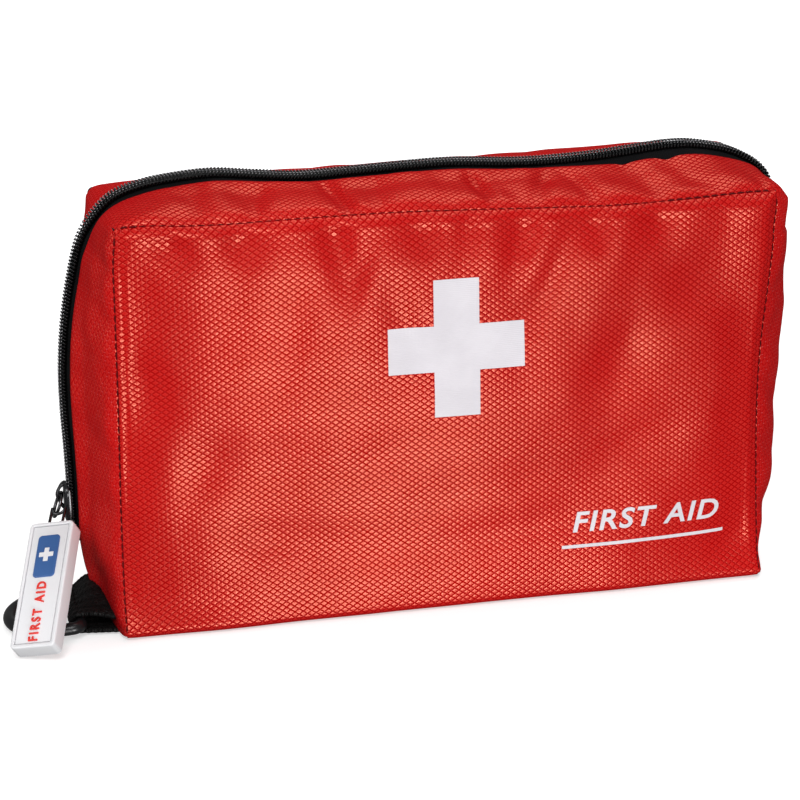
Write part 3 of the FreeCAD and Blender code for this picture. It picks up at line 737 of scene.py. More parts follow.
def back_offset(x, z, nearest, top):
    """How far the back stands out; nearest and top are distances to the seams."""
    flank = np.clip(np.abs(x) / 112.0, 0, 1) ** 2.4
    crown = (1 - flank) * 1.6 * smooth(0, 30, top)
    soft = 0.55 * value_noise(x, z, 33, 21) + 0.28 * value_noise(x, z, 14, 22)
    roll = 2.7 * np.clip(1 - nearest / 4.2, 0, 1) ** 2
    top_pleats = pleats(x + 8 * value_noise(x, z, 30, 24), pitch=26.0, power=1.5)
    top_pleats = (top_pleats - 0.45) * 1.0 * np.exp(-top / 14.0) * smooth(0, 3, top)
    return crown + soft * smooth(0, 8, nearest) - roll + top_pleats


def round_corners(x, z, left_x, right_x, top_z, radius):
    """Moves the points of a rectangular patch so that its top corners are round."""
    for side, centre_x in ((-1, left_x + radius), (1, right_x - radius)):
        centre_z = top_z - radius
        a = side * (x - centre_x) / radius
        b = (z - centre_z) / radius
        in_corner = (a > 0) & (b > 0)
        a, b = np.clip(a, 0, 1), np.clip(b, 0, 1)
        x = np.where(in_corner, centre_x + side * a * np.sqrt(1 - b ** 2 / 2) * radius, x)
        z = np.where(in_corner, centre_z + b * np.sqrt(1 - a ** 2 / 2) * radius, z)
    return x, z


def panel(half):
    """Front or back cloth with its half of the base: points and fabric coordinates."""
    sign, radius = half.sign, half.corner
    # columns are denser at the side seams
    across = 0.08 + 0.84 * np.linspace(0, 1, half.columns)[:, None]
    across = 0.5 - 0.5 * np.cos(np.pi * across) / math.cos(np.pi * 0.08)
    up = 1 - (1 - np.linspace(0, 1, half.rows)[None, :]) ** 1.12
    z_guess = BASE_RADIUS + up * (half.mid_height - BASE_RADIUS) + 0 * across
    left_x = seam_x(half, z_guess, -1)
    right_x = seam_x(half, z_guess, 1)
    x = left_x + (right_x - left_x) * across
    top_z = seam_top(half, x[:, -1:] + 0 * z_guess)
    z = BASE_RADIUS + up * (top_z - BASE_RADIUS)
    left, right, top = x - left_x, right_x - x, top_z - z
    nearest_side = np.minimum(left, right)
    in_corner = (nearest_side < radius) & (top < radius)
    corner_distance = radius - np.hypot(np.clip(radius - nearest_side, 0, radius),
                                        np.clip(radius - top, 0, radius))
    corner_distance = np.clip(corner_distance, 0, None)
    x, z = round_corners(x, z, left_x, right_x, top_z, radius)
    if half is FRONT:
        top = np.where(in_corner, corner_distance, top)
        y = -30.0 - front_offset(x, z, left, right, top)
    else:
        nearest = np.where(in_corner, corner_distance, np.minimum(nearest_side, top))
        y = 29.2 + back_offset(x, z, nearest, top)
    upright = np.stack([x, y, z], -1)

    # the flat base, from close to y = 0 outwards, raised a little at its ends
    foot_y = y[:, :1]
    inner_y = sign * 0.6
    base_y = inner_y + ((foot_y - sign * BASE_RADIUS - inner_y)
                        * np.linspace(0, 1, BASE_COLUMNS)[None, :-1])
    outward = np.clip(np.abs(base_y) / 27.5, 0, 1)
    base_left = np.interp(outward, [0, 1], [-117.2, left_x[0, 0]])
    base_right = np.interp(outward, [0, 1], [115.6, right_x[0, 0]])
    base_x = base_left + (base_right - base_left) * across
    lift = 0.25 * np.exp(-np.minimum(across, 1 - across) * 220 / 3.0)
    base = np.stack([base_x, base_y, 0.25 + lift + 0 * base_x], -1)

    # the rounded edge between the base and the upright cloth
    angle = np.linspace(0, np.pi / 2, ARC_COLUMNS)[:-1][None, :]
    arc_y = foot_y - sign * BASE_RADIUS * (1 - np.sin(angle))
    arc_z = BASE_RADIUS - BASE_RADIUS * np.cos(angle) + 0 * foot_y
    arc = np.stack([x[:, :1] + 0 * arc_y, arc_y,
                    np.maximum(arc_z, 0.25) + lift * (1 - arc_z / BASE_RADIUS)], -1)

    P = np.concatenate([base, arc, upright], axis=1)
    lengths = arc_lengths(P[P.shape[0] // 2])
    UV = np.stack([P[:, :, 0], np.broadcast_to(lengths, P.shape[:2])], -1)
    first = P.shape[1] - half.rows
    UV[:, first:, 1] = z + (lengths[first] - BASE_RADIUS)
    return P, UV


def front_y(x_values, z_values):
    """y of the front cloth at points given by x and z."""
    rows = FRONT.panel[:, -FRONT.rows:]
    heights = rows[rows.shape[0] // 2, :, 2]
    found = []
    for x, z in zip(x_values, z_values):
        above = int(np.clip(np.searchsorted(heights, z), 1, len(heights) - 1))
        below = above - 1
        share = (z - heights[below]) / max(heights[above] - heights[below], 1e-6)
        y0, y1 = (np.interp(x, rows[:, j, 0], rows[:, j, 1]) for j in (below, above))
        found.append(y0 + (y1 - y0) * np.clip(share, 0, 1))
    return np.array(found)


for half, name, nodes in (
        (FRONT, "front_cloth", ("flap_panel", "body_panel")),
        (BACK, "back_cloth", ("side_gusset_left", "side_gusset_right"))):
    half.panel, panel_uv = panel(half)
    ob = cloth_shell(name, half.panel, panel_uv, 1.9, RED, LINING, out_sign=-half.sign)
    attach(ob, half.body, "red_weave", *nodes)

# ---------------------------------------------------------------- side and top strips

STRIP_COLUMNS = 34

# Folds across the top of the front strip: x, half width, depth, lean.
TOP_FOLDS = [(-36, 3.2, 1.7, 0.2), (12, 3.0, 2.0, 0.15), (-62, 3.5, 1.0, -0.3),
             (33, 3.6, 1.3, -0.4), (46, 3.4, 1.2, 0.3), (70, 4.0, 1.0, 0.2), (-84, 4, 0.9, 0.3)]


def panel_edge(half):
    """The panel's cloth edge, sampled where it lies nearest to each point of the seam."""
    P = half.panel
    n = half.rows + 7
    border = np.vstack([P[0, -n:], P[1:, -1], P[-1, -n:-1][::-1]])
    nearest = [np.argmin(((border[:, [0, 2]] - c) ** 2).sum(1)) for c in half.seam]
    edge = border[np.array(nearest)].copy()
    for axis in range(3):
        edge[2:-2, axis] = np.convolve(edge[:, axis], np.ones(5) / 5, "same")[2:-2]
    return edge


def front_strip_shape(P, share, distance, width, normal):
    """Adds the front strip's right-hand bulge, the lump at its corner and the top folds."""
    column_x, column_z = ZIP_X[:, None], ZIP_Z[:, None]
    right = smooth(60, 100, column_x) * smooth(4, 40, column_z) * smooth(146, 112, column_z)
    bulge = 4.3 * right * np.sin(np.pi * share ** 1.25)[None, :]
    P = P + ZIP_OUT[:, None] * bulge[..., None]
    reach = np.hypot(ZIP_X - 117, (ZIP_Z - 132.5) * np.where(ZIP_Z < 132.5, 0.42, 1.0))
    lump = (np.exp(-(reach / 4.6) ** 1.35)[:, None]
            * (np.clip(1.12 - np.abs(share * 4.6 - 1.0), 0, 1) ** 0.9)[None, :])
    P = P + unit(np.array([1.0, -0.1, 0.22])) * (3.4 * lump)[..., None]
    fold = np.zeros_like(distance)
    arch = np.sin(np.pi * np.clip(distance / width, 0, 1)) ** 0.7
    for fold_x, half_width, deep, lean in TOP_FOLDS:
        q = (column_x - fold_x + lean * (distance - 12)) / half_width
        fold += deep * np.exp(-q * q) * arch * (column_z > 130)
    return P - normal[:, None] * fold[..., None]


def strip(half):
    """Strip of one half from the panel seam (share 0) to the zip (share 1)."""
    sign, seed, seam_edge = half.sign, half.seed, half.edge
    zip_y = sign * half.zip_y
    reach = (half.seam_y - half.zip_y) / half.seam_y
    zip_edge = seam_edge.copy()
    zip_edge[:, [0, 2]] += (ZIP_XZ - seam_edge[:, [0, 2]]) * min(1.0, reach * 1.06)
    zip_edge[:, 1] = zip_y
    share = np.linspace(0, 1, STRIP_COLUMNS)
    normal = unit(ZIP_OUT * 0.85 + np.array([0, sign * 0.5, 0]))
    width = np.linalg.norm(zip_edge - seam_edge, axis=1)[:, None]
    P = seam_edge[:, None] + (zip_edge - seam_edge)[:, None] * share[None, :, None]
    distance = share[None, :] * width
    to_zip = width - distance
    along = ZIP_LENGTHS[:, None] + 0 * distance
    arch = np.sin(np.pi * share)[None, :]

    roll = 1.2 * (1 - np.clip(1 - distance / 4.6, 0, 1) ** 2) * (1 - smooth(0.0, 1.0, share))
    facing_up = np.clip(ZIP_OUT[:, 2], 0, 1)[:, None]
    if half is FRONT:
        puff = 1.3 + 0.9 * facing_up
        puff = puff * (1 - 0.75 * smooth(40, 75, ZIP_X) * (ZIP_Z > 120))[:, None]
    else:
        puff = 0.9 - 0.3 * facing_up
    pillow = puff * np.sin(np.pi * share ** 0.9)[None, :] ** 0.9
    ripples = pleats(along + 8 * value_noise(along, distance, 24, seed), pitch=21.0, power=1.4)
    ripples = ((ripples - 0.5) * 1.5 * half.ripple
               * (np.exp(-distance / 9.0) + 0.8 * np.exp(-to_zip / 8.0))
               * smooth(0, 5, distance) * smooth(0, 3, to_zip))
    soft = half.softness * arch * (0.9 * value_noise(along, distance, 19, seed + 1)
                                   + 0.35 * value_noise(along, distance, 8, seed + 2))
    # the folded edge rises to the coil, then turns down; it is lower near the top corners
    lip = (1 - 0.9 * np.exp(-((ZIP_X + 106) ** 2 + (ZIP_Z - 134) ** 2) / 700.0)
           - 0.8 * smooth(38, 66, ZIP_X) * (ZIP_Z > 100))[:, None]
    tuck = (0.5 * smooth(width - 1.6, width, distance)
            - 1.5 * lip * smooth(width - 9.0, width - 1.0, distance))
    P = P + normal[:, None] * (roll + 0.75 * pillow + ripples + soft - tuck)[..., None]
    if half is FRONT:
        P = front_strip_shape(P, share, distance, width, normal)

    # below the zip ends the two halves meet in the middle
    middle_y = 0.25
    low = smooth(30.0, 22.0, ZIP_Z)[:, None] * smooth(0.35, 1.0, share)[None, :]
    stretch = (half.seam_y - middle_y) / (half.seam_y - half.zip_y)
    closed_y = sign * middle_y + (P[..., 1] - zip_y) * stretch
    P[..., 1] = P[..., 1] * (1 - low) + closed_y * low
    P[:, 0] = seam_edge
    return P, np.stack([along, distance], -1)


for half in HALVES:
    half.edge = panel_edge(half)
    P, UV = strip(half)
    # 1 on the side strips, 0 on the top strip: where the weave shader paints the look of their
    #                                           light
    side = np.broadcast_to(smooth(0.85, 0.45, ZIP_OUT[:, 2])[:, None], P.shape[:2])
    ob = cloth_shell(half.name + "_gusset_cloth", P, UV, 1.5, RED, LINING,
                     out_sign=-half.sign, side=side)
    attach(ob, half.body, "red_weave", half.name + "_gusset")

# ---------------------------------------------------------------- seam stitches

FRONT_NORMALS = unit(ZIP_OUT * 0.7 + np.array([0, -0.72, 0]))
BOLD = dict(pitch=3.05, length=2.55, radius=0.27, lift=0.16)
FAINT = dict(pitch=3.05, length=2.3, radius=0.15, lift=0.05)


def front_seam_stitches():
    """Bold stitches, but faint ones along the top and none at the two top corners."""
    edge = FRONT.edge
    lengths = arc_lengths(edge)
    seam = FRONT.seam
    on_top = (seam[:, 1] > 131.5) & (seam[:, 0] > -104) & (seam[:, 0] < 72)
    top_start, top_end = lengths[on_top][[0, -1]]
    corners = [lengths[int(np.argmax(edge[:, 2] + side * edge[:, 0]))] for side in (-1, 1)]

    def at_corner(s):
        return any(c - 3.6 < s < c + 1.0 for c in corners)
    path = edge + FRONT_NORMALS * 0.02
    return join_parts([
        stitches(path, FRONT_NORMALS, **BOLD,
                 skip=lambda s: top_start < s < top_end or at_corner(s)),
        stitches(path, FRONT_NORMALS, **FAINT,
                 skip=lambda s: not top_start < s < top_end or at_corner(s))])


# the dark seam thread draws the seam line as painted groove shade
ob = add_mesh("front_seam_stitches", *front_seam_stitches(), [GROOVE_SHADE_THREAD])
attach(ob, "bend", "thread_black")
back_normals = FRONT_NORMALS * np.array([1, -1, 1])
back_stitches = stitches(BACK.edge + back_normals * 0.02, back_normals, **BOLD)
ob = add_mesh("back_seam_stitches", *back_stitches, [GROOVE_SHADE_THREAD])
attach(ob, "root", "thread_black")

# ---------------------------------------------------------------- zip

ZIP_END_Z = 29.5        # height of both ends of the coil
zip_first = int(np.searchsorted(ZIP_Z[:SAMPLES // 2], ZIP_END_Z))
zip_last = SAMPLES - 1 - int(np.searchsorted(ZIP_Z[::-1][:SAMPLES // 2], ZIP_END_Z))
COIL_LINE = ZIP_LINE[zip_first:zip_last]
COIL_OUT = ZIP_OUT[zip_first:zip_last]
COIL_LENGTHS = arc_lengths(COIL_LINE)
COIL_PITCH = 1.15
COIL_Y = 1.95           # middle of a row of coil, from y = 0

# Section of the tape: distance from y = 0, height above the zip line.
TAPE_SECTION = [(9.0, -4.2), (7.8, -3.4), (6.6, -2.2), (5.4, -0.9), (4.2, -0.1), (3.0, 0.0),
                (1.8, -0.05), (0.8, -0.15), (0.35, -0.25)]
# Light grey thread dashes along the coil, painted highlights for the glints on its loops: distance
# from y = 0, height.
GLINT_THREAD_ROWS = [(3.25, 1.95), (2.15, 2.42), (1.05, 2.2)]


def zip_tape(half):
    """Half of the tape, from under the cloth edge to the coil."""
    span = slice(zip_first - 6, zip_last + 6)
    distance, height = np.array(TAPE_SECTION).T
    P = ZIP_LINE[span][:, None] + ZIP_OUT[span][:, None] * height[None, :, None]
    P[..., 1] = half.sign * distance
    lengths = arc_lengths(ZIP_LINE[span])[:, None]
    UV = np.stack([lengths + 0 * P[..., 0], np.broadcast_to(distance, P.shape[:2])], -1)
    return cloth_shell(half.name + "_zip_tape_cloth", P, UV, 0.6, ZIP_TAPE,
                       out_sign=-half.sign)


def coil(sign):
    """Wound filament of one row; the back row is half a pitch ahead."""
    per_turn = 10
    turns = int(COIL_LENGTHS[-1] / COIL_PITCH)
    t = np.arange(turns * per_turn + 1) / per_turn
    s = t * COIL_PITCH + (0.5 * COIL_PITCH if sign > 0 else 0)
    s = np.clip(s, 0, COIL_LENGTHS[-1])
    out = unit(at_length(COIL_OUT, COIL_LENGTHS, s))
    angle = 2 * np.pi * t
    P = at_length(COIL_LINE, COIL_LENGTHS, s) + out * (1.05 + 1.2 * np.sin(angle))[:, None]
    P[:, 1] = sign * (COIL_Y + 1.85 * np.cos(angle))
    return tube(P, 0.34 + 0.06 * np.clip(-np.cos(angle), 0, 1), 6, normal=out)


def coil_cord(sign):
    """Straight cord inside the winding."""
    s = np.linspace(0, COIL_LENGTHS[-1], int(COIL_LENGTHS[-1] / 0.31))
    out = unit(at_length(COIL_OUT, COIL_LENGTHS, s))
    P = at_length(COIL_LINE, COIL_LENGTHS, s) + out
    P[:, 1] = sign * COIL_Y
    return tube(P, 0.66, 6, normal=out)


# rows of light grey dashes over the coil: painted highlights standing in for glints on its loops
def coil_glint_thread(sign):
    rows = []
    for i, (distance, height) in enumerate(GLINT_THREAD_ROWS):
        out = COIL_OUT[i:]
        path = COIL_LINE[i:] + out * height
        path[:, 1] = sign * distance
        rows.append(stitches(path, out, pitch=COIL_PITCH, length=0.36, radius=0.14,
                             lift=0.10, n=5))
    return join_parts(rows)


def end_stops():
    """Two metal bands arched over the coil at each end of the zip."""
    parts = []
    for i in (zip_first - 2, zip_last + 1):
        along = unit(ZIP_LINE[i + 3] - ZIP_LINE[i - 3])
        for side in (-1, 1):
            arch = np.array([ZIP_LINE[i] + ZIP_OUT[i] * (0.7 + 1.35 * math.sin(a))
                             + np.array([0, side * 0.25 + 2.842 * math.cos(a), 0])
                             + along * side * 0.85
                             for a in np.linspace(-0.35, math.pi + 0.35, 20)])
            parts.append(tube(arch, 0.62, 10, normal=along, flat=(1.5, 0.8)))
    return join_parts(parts)


for half, extra in ((FRONT, ()), (BACK, ("zip_end_tape",))):
    attach(zip_tape(half), half.body, "zip_tape", half.name + "_zip_tape", *extra)
for half, extra in ((FRONT, ()), (BACK, ("zip_end_coil",))):
    row = join_parts([coil(half.sign), coil_cord(half.sign)])
    ob = add_mesh(half.name + "_coil", *row, [COIL])
    attach(ob, half.body, "zip_coil", half.name + "_zip_coil", *extra)
    ob = add_mesh(half.name + "_coil_glint_thread", *coil_glint_thread(half.sign), [GLINT_GREY_THREAD])
    attach(ob, half.body, "thread_black")
ob = tidy(add_mesh("zip_end_stops", *end_stops(), [SLIDER_METAL]), 60)
attach(ob, "root", "zip_stop_metal", "zip_stops")

# ---------------------------------------------------------------- print on the front


def fill_stops(stops, step=1.2):
    """Sorted stops with evenly spaced points added between them."""
    out = [stops[0]]
    for a, b in zip(stops, stops[1:]):
        out += list(np.linspace(a, b, max(1, int(round((b - a) / step))) + 1)[1:])
    return np.array(out)


def printed_patch(name, cells):
    """Ink on the cloth; cells are (x0, x1, z0, z1) boxes that share edges."""
    X = fill_stops(sorted({c for box in cells for c in box[:2]}))
    Z = fill_stops(sorted({c for box in cells for c in box[2:]}))
    GX, GZ = np.meshgrid(X, Z, indexing="ij")
    Y = front_y(GX.ravel(), GZ.ravel()).reshape(GX.shape)
    nu, nv = GX.shape
    count = nu * nv
    mid_x, mid_z = ((X[:-1] + X[1:]) / 2)[:, None], ((Z[:-1] + Z[1:]) / 2)[None]
    inked = np.zeros((nu - 1, nv - 1), bool)
    for x0, x1, z0, z1 in cells:
        inked |= (mid_x > x0) & (mid_x < x1) & (mid_z > z0) & (mid_z < z1)
    faces = []
    for i, j in np.argwhere(inked):
        a, b = i * nv + j, (i + 1) * nv + j
        c, d = b + 1, a + 1
        faces.append((a, b, c, d))
        faces.append((d + count, c + count, b + count, a + count))
        # close the sides that have no inked neighbour
        for (i2, j2), (p, q) in (((i - 1, j), (d, a)), ((i + 1, j), (b, c)),
                                 ((i, j - 1), (a, b)), ((i, j + 1), (c, d))):
            if not (0 <= i2 < nu - 1 and 0 <= j2 < nv - 1) or not inked[i2, j2]:
                faces.append((q, p, p + count, q + count))
    V = np.vstack([np.stack([GX, Y + shift, GZ], -1).reshape(-1, 3) for shift in (-0.14, 0.25)])
    used = sorted({i for face in faces for i in face})
    new_index = {old: i for i, old in enumerate(used)}
    V = V[used]
    faces = [[new_index[i] for i in face] for face in faces]
    return add_mesh(name, V, faces, [INK], cloth=V[:, [0, 2, 1]] * [1, 1, 0], flat=True)


def text_mesh(length, size, bold, shear, extrude, bevel, spacing, resolution):
    """The words FIRST AID as points and faces in their own plane, fitted to a length."""
    curve = bpy.data.curves.new("tmp_text", "FONT")
    curve.body = "FIRST AID"
    curve.size = size
    curve.offset = bold
    curve.shear = shear
    curve.extrude = extrude
    curve.bevel_depth = bevel
    curve.bevel_resolution = 2
    curve.space_character = spacing
    curve.resolution_u = resolution
    ob = bpy.data.objects.new("tmp_text", curve)
    SCENE.collection.objects.link(ob)
    bpy.context.view_layer.update()
    depsgraph = bpy.context.evaluated_depsgraph_get()
    mesh = bpy.data.meshes.new_from_object(ob.evaluated_get(depsgraph))
    bm = bmesh.new()
    bm.from_mesh(mesh)
    bmesh.ops.remove_doubles(bm, verts=bm.verts, dist=1e-5)
    V = np.array([v.co[:] for v in bm.verts])
    F = [[v.index for v in f.verts] for f in bm.faces]
    bm.free()
    bpy.data.objects.remove(ob)
    bpy.data.curves.remove(curve)
    bpy.data.meshes.remove(mesh)
    V[:, 0] -= V[:, 0].min()
    V[:, 0] *= length / V[:, 0].max()
    return V, F


def lettering():
    V, F = text_mesh(length=53.0, size=9.6, bold=0.18, shear=0.22, extrude=0.12, bevel=0.0,
                     spacing=1.12, resolution=4)
    x, z = 40.0 + V[:, 0], 23.0 + V[:, 1]
    y = front_y(x, z) - 0.10 - V[:, 2]
    return add_mesh("lettering_ink", np.stack([x, y, z], 1), F, [INK],
                    cloth=np.stack([x, z, 0 * x], 1), flat=True)


CROSS_Z = 90.3
CROSS_REACH = 45.8 / 2
CROSS_ARM = 15.3 / 2
ob = printed_patch("cross_print_ink", [
    (-CROSS_REACH, -CROSS_ARM, CROSS_Z - CROSS_ARM, CROSS_Z + CROSS_ARM),
    (-CROSS_ARM, CROSS_ARM, CROSS_Z - CROSS_REACH, CROSS_Z + CROSS_REACH),
    (CROSS_ARM, CROSS_REACH, CROSS_Z - CROSS_ARM, CROSS_Z + CROSS_ARM)])
attach(ob, "bend", "print_white", "cross_print")
attach(lettering(), "bend", "print_white", "lettering_print")
ob = printed_patch("lettering_rule", [(36.0, 95.0, 17.4, 18.5)])
attach(ob, "bend", "print_white")

# ---------------------------------------------------------------- rubber tag


def turn(first, second, angle):
    """Turns two perpendicular directions in their plane."""
    c, s = math.cos(angle), math.sin(angle)
    return first * c + second * s, second * c - first * s


# The tag's own axes: down its length, across its width and out of its back face.
tag_down = unit(np.array([-0.270, -0.722, -0.637]))
tag_across = np.array([0.935, -0.355, 0])
tag_across = unit(tag_across - tag_down * (tag_across @ tag_down))
tag_out = np.cross(tag_down, tag_across)
if tag_out[0] > 0:
    tag_out = -tag_out
tag_across, tag_out = turn(tag_across, tag_out, 0.19)
tag_down, tag_across = turn(tag_down, tag_across, 0.04)
TAG_TOP = np.array([-128.5, -2.2, 38.7]) + tag_down * 9.5
TAG_LENGTH, TAG_WIDTH = 46.2, 15.5

# Plate outlines: inset, height.
TAG_LEVELS = [(0.8, -3.25), (0.35, -3.14), (0.08, -2.9), (0.0, -2.4), (0.0, 2.6), (0.06, 2.98),
              (0.25, 3.2), (0.5, 3.25), (1.25, 3.25), (1.32, 3.2), (1.36, 2.3), (1.62, 2.3),
              (1.66, 3.0), (1.8, 3.05)]
BADGE_LEVELS = [(0.0, 2.5), (0.0, 3.3), (0.1, 3.46), (0.35, 3.55), (0.6, 3.56)]
# Small cross: scale of the outline, height.
PLUS_LEVELS = [(1.0, 3.4), (1.0, 3.68), (0.95, 3.78)]


def tag_point(x, y, z):
    """Point at x across, y out and z down from the top of the tag."""
    return TAG_TOP + sum(np.multiply.outer(np.asarray(value, float), axis)
                         for value, axis in ((x, tag_across), (y, tag_out), (z, tag_down)))


def round_rect(width, height, radius, n=8):
    """Outline of a rounded rectangle centred on the origin."""
    x, y = width / 2 - radius, height / 2 - radius
    out = []
    for centre_x, centre_y, start in ((x, y, 0), (-x, y, 90), (-x, -y, 180), (x, -y, 270)):
        for a in np.radians(np.linspace(start, start + 90, n)):
            out.append((centre_x + radius * math.cos(a), centre_y + radius * math.sin(a)))
    return np.array(out)


def lofted_plate(rings):
    """Closed skin through rings of equal size."""
    n = len(rings[0])
    V = np.vstack(rings)
    F = grid_quads(len(rings), n, wrap_v=True).tolist()
    F.append(list(range(n))[::-1])
    F.append(list(range(len(V) - n, len(V))))
    return V, F


def tag_plate(width, length, radius, centre, levels):
    rings = []
    for inset, height in levels:
        o = round_rect(width - 2 * inset, length - 2 * inset, max(radius - inset, 0.15))
        rings.append(tag_point(o[:, 0], np.full(len(o), height), o[:, 1] + centre))
    return lofted_plate(rings)


def tag_plus(reach, arm, centre):
    o = np.array([(arm, arm), (arm, reach), (-arm, reach), (-arm, arm), (-reach, arm),
                  (-reach, -arm), (-arm, -arm), (-arm, -reach), (arm, -reach), (arm, -arm),
                  (reach, -arm), (reach, arm)])
    return lofted_plate([tag_point(o[:, 0] * scale, np.full(12, height), o[:, 1] * scale + centre)
                         for scale, height in PLUS_LEVELS])


def tag_lettering():
    """Raised lettering that reads along the tag."""
    V, F = text_mesh(length=21.5, size=7.2, bold=0.10, shear=0.0, extrude=0.34, bevel=0.06,
                     spacing=1.35, resolution=3)
    V[:, 1] -= (V[:, 1].max() + V[:, 1].min()) / 2
    V[:, 1] *= 3.3 / (V[:, 1].max() - V[:, 1].min())
    return tag_point(-V[:, 1], V[:, 2] + 3.1, 44.0 - V[:, 0]), F


for name, (V, F), material, slot, node, flat in (
        ("tag_rubber", tag_plate(TAG_WIDTH, TAG_LENGTH, 1.6, TAG_LENGTH / 2, TAG_LEVELS),
         TAG_WHITE, "tag_white", "tag_body", False),
        ("tag_badge_plate", tag_plate(7.6, 15.6, 1.3, 13.0, BADGE_LEVELS),
         TAG_BLUE, "tag_blue", "tag_badge", False),
        ("tag_small_cross", tag_plus(reach=2.5, arm=0.8, centre=12.6),
         TAG_WHITE, "tag_white", "tag_cross", True),
        ("tag_raised_lettering", tag_lettering(), TAG_RED, "tag_red", "tag_ribs", True)):
    attach(tidy(add_mesh(name, V, F, [material], flat=flat)), "tag", slot, node)

# ---------------------------------------------------------------- zip slider

# Outlines of the slider plates: inset, x.
OUTER_PLATE = [(0.5, -125.35), (0.15, -125.4), (0.0, -125.7), (0.0, -126.5), (0.25, -126.85),
               (0.8, -127.05), (1.5, -127.1)]
INNER_PLATE = [(0.5, -119.6), (0.1, -119.8), (0.0, -120.2), (0.3, -120.5)]
SLIDER_Z = 38.0


def slider_plate(levels, width, height, radius=3.0):
    """Rounded plate across x, narrowed towards its lower end."""
    rings = []
    for inset, x in levels:
        o = round_rect(width - 2 * inset, height - 2 * inset, max(radius - inset, 0.2), 10)
        taper = 1.0 - 0.16 * smooth(-2.0, -6.6, o[:, 1])
        rings.append(np.stack([np.full(len(o), x), o[:, 0] * taper, SLIDER_Z + o[:, 1]], 1))
    return lofted_plate(rings)


def slider_shell():
    """Outer and inner plates, and a curled flange along each long side."""
    parts = [slider_plate(OUTER_PLATE, 8.6, 13.2), slider_plate(INNER_PLATE, 8.0, 12.2)]
    radius = 0.72 * np.sin(np.linspace(0.35, np.pi - 0.35, 14)) ** 0.5
    for side in (-1, 1):
        path = np.array([[-125.55, side * 3.95, z] for z in np.linspace(33.2, 43.0, 14)])
        parts.append(tube(path, radius, 10, normal=[1, 0, 0], flat=(1.5, 0.62)))
    return join_parts(parts)


def slider_bridge():
    """Flat arch over the outer plate."""
    t = np.linspace(0, 1, 26)
    hump = np.sin(np.pi * t)
    arch = np.stack([-126.3 - 2.75 * hump ** 0.62, 0 * t, 35.6 + 9.0 * t + 0.5 * hump], 1)
    return tube(arch, 0.62 + 0.30 * np.cos(2 * np.pi * t) ** 2, 12, normal=[0, 1, 0],
                flat=(1.75, 0.80))


ob = tidy(add_mesh("slider_shell", *slider_shell(), [SLIDER_METAL]), 50)
attach(ob, "slider", "slider_metal", "slider_body")
ob = tidy(add_mesh("slider_bridge", *slider_bridge(), [SLIDER_METAL]), 60)
attach(ob, "slider", "slider_metal", "slider_crown")

# ---------------------------------------------------------------- webbing loop

BAR_X, BAR_Z = -125.6, 3.8      # straight bar of the D-ring, along y
EYE_RADIUS = 2.35               # of the webbing round the bar
LOOP_Y = -11.5                  # middle of the webbing
LEG_ROWS, EYE_ROWS, LOOP_COLUMNS = 18, 18, 30


def webbing():
    """Two layers from the side seam to an eye round the ring's straight bar."""
    across = np.linspace(-1, 1, LOOP_COLUMNS)
    # the root follows the slanting seam
    root_x = np.interp(across, [-1, 1], [-112.0, -119.0])
    root_z = np.interp(across, [-1, -0.4, 1], [4.4, 7.2, 9.8])
    near = smooth(0.2, -1.0, across)
    profile = [("low", i / (LEG_ROWS - 1)) for i in range(LEG_ROWS)]
    profile += [("eye", i / EYE_ROWS) for i in range(1, EYE_ROWS)]
    profile += [("top", i / (LEG_ROWS - 1)) for i in range(LEG_ROWS)]
    rows = []
    for part, t in profile:
        flare = {"low": 1 - t, "eye": 0.0, "top": t}[part]
        y = LOOP_Y + across * 12.8 - 2.6 * near * flare
        if part == "low":
            x = root_x + (BAR_X - root_x) * t
            z = 1.5 + (BAR_Z - EYE_RADIUS - 1.5) * smooth(0, 1, t) + 0 * y
        elif part == "eye":
            angle = -np.pi / 2 - np.pi * t
            x = BAR_X + EYE_RADIUS * np.cos(angle) + 0 * y
            z = BAR_Z + EYE_RADIUS * np.sin(angle) + 0 * y
        else:
            eye_top = BAR_Z + EYE_RADIUS
            x = BAR_X + (root_x - BAR_X) * t
            z = (eye_top + (root_z - eye_top) * smooth(0.0, 1, t)
                 + np.sin(np.pi * t) * (1.5 + 0.8 * np.sin(across * 3.2 + 1.0)))
        rows.append(np.stack([x, y, z], 1))
    P = np.array(rows)
    lengths = arc_lengths(P[:, 13])[:, None]
    slant = np.abs(np.sin(across[None, :] * np.pi * 3.2)) * 3.0
    ribs = (0.20 * np.sin(across[None, :] * np.pi * 6.5)
            + 0.10 * np.sin(lengths * 2 * np.pi / 1.7 + slant))
    P = P + grid_normals(P) * ribs[..., None]
    return P, np.stack([lengths + 0 * P[..., 0], P[..., 1]], -1)


def bar_tack():
    """Row of slanting stitches across the upper layer, beside the ring."""
    parts = []
    for start_y in np.arange(LOOP_Y - 11.2, LOOP_Y + 11.3, 0.75):
        across = (start_y - LOOP_Y) / 12.5
        root_x = np.interp(across, [-1, 1], [-112.6, -119.0])
        middle_x = BAR_X + (root_x - BAR_X) * 0.42
        height = np.interp(across, [-1, -0.4, 1], [6.4, 7.9, 9.3])
        path = np.stack([np.linspace(middle_x - 1.3, middle_x + 1.3, 5),
                         start_y + 0.3 * np.arange(5),
                         height + 0.25 * np.sin(np.linspace(0, np.pi, 5)) - 0.1], 1)
        parts.append(tube(path, 0.22, 5))
    return join_parts(parts)


ob = cloth_shell("webbing_loop_cloth", *webbing(), 1.3, WEBBING, out_sign=-1)
attach(ob, "loop", "webbing_black", "webbing_loop")
ob = add_mesh("loop_tack_stitches", *bar_tack(), [BLACK_THREAD])
attach(ob, "loop", "thread_black", "loop_bar_tack")

# ---------------------------------------------------------------- packets and rolls inside


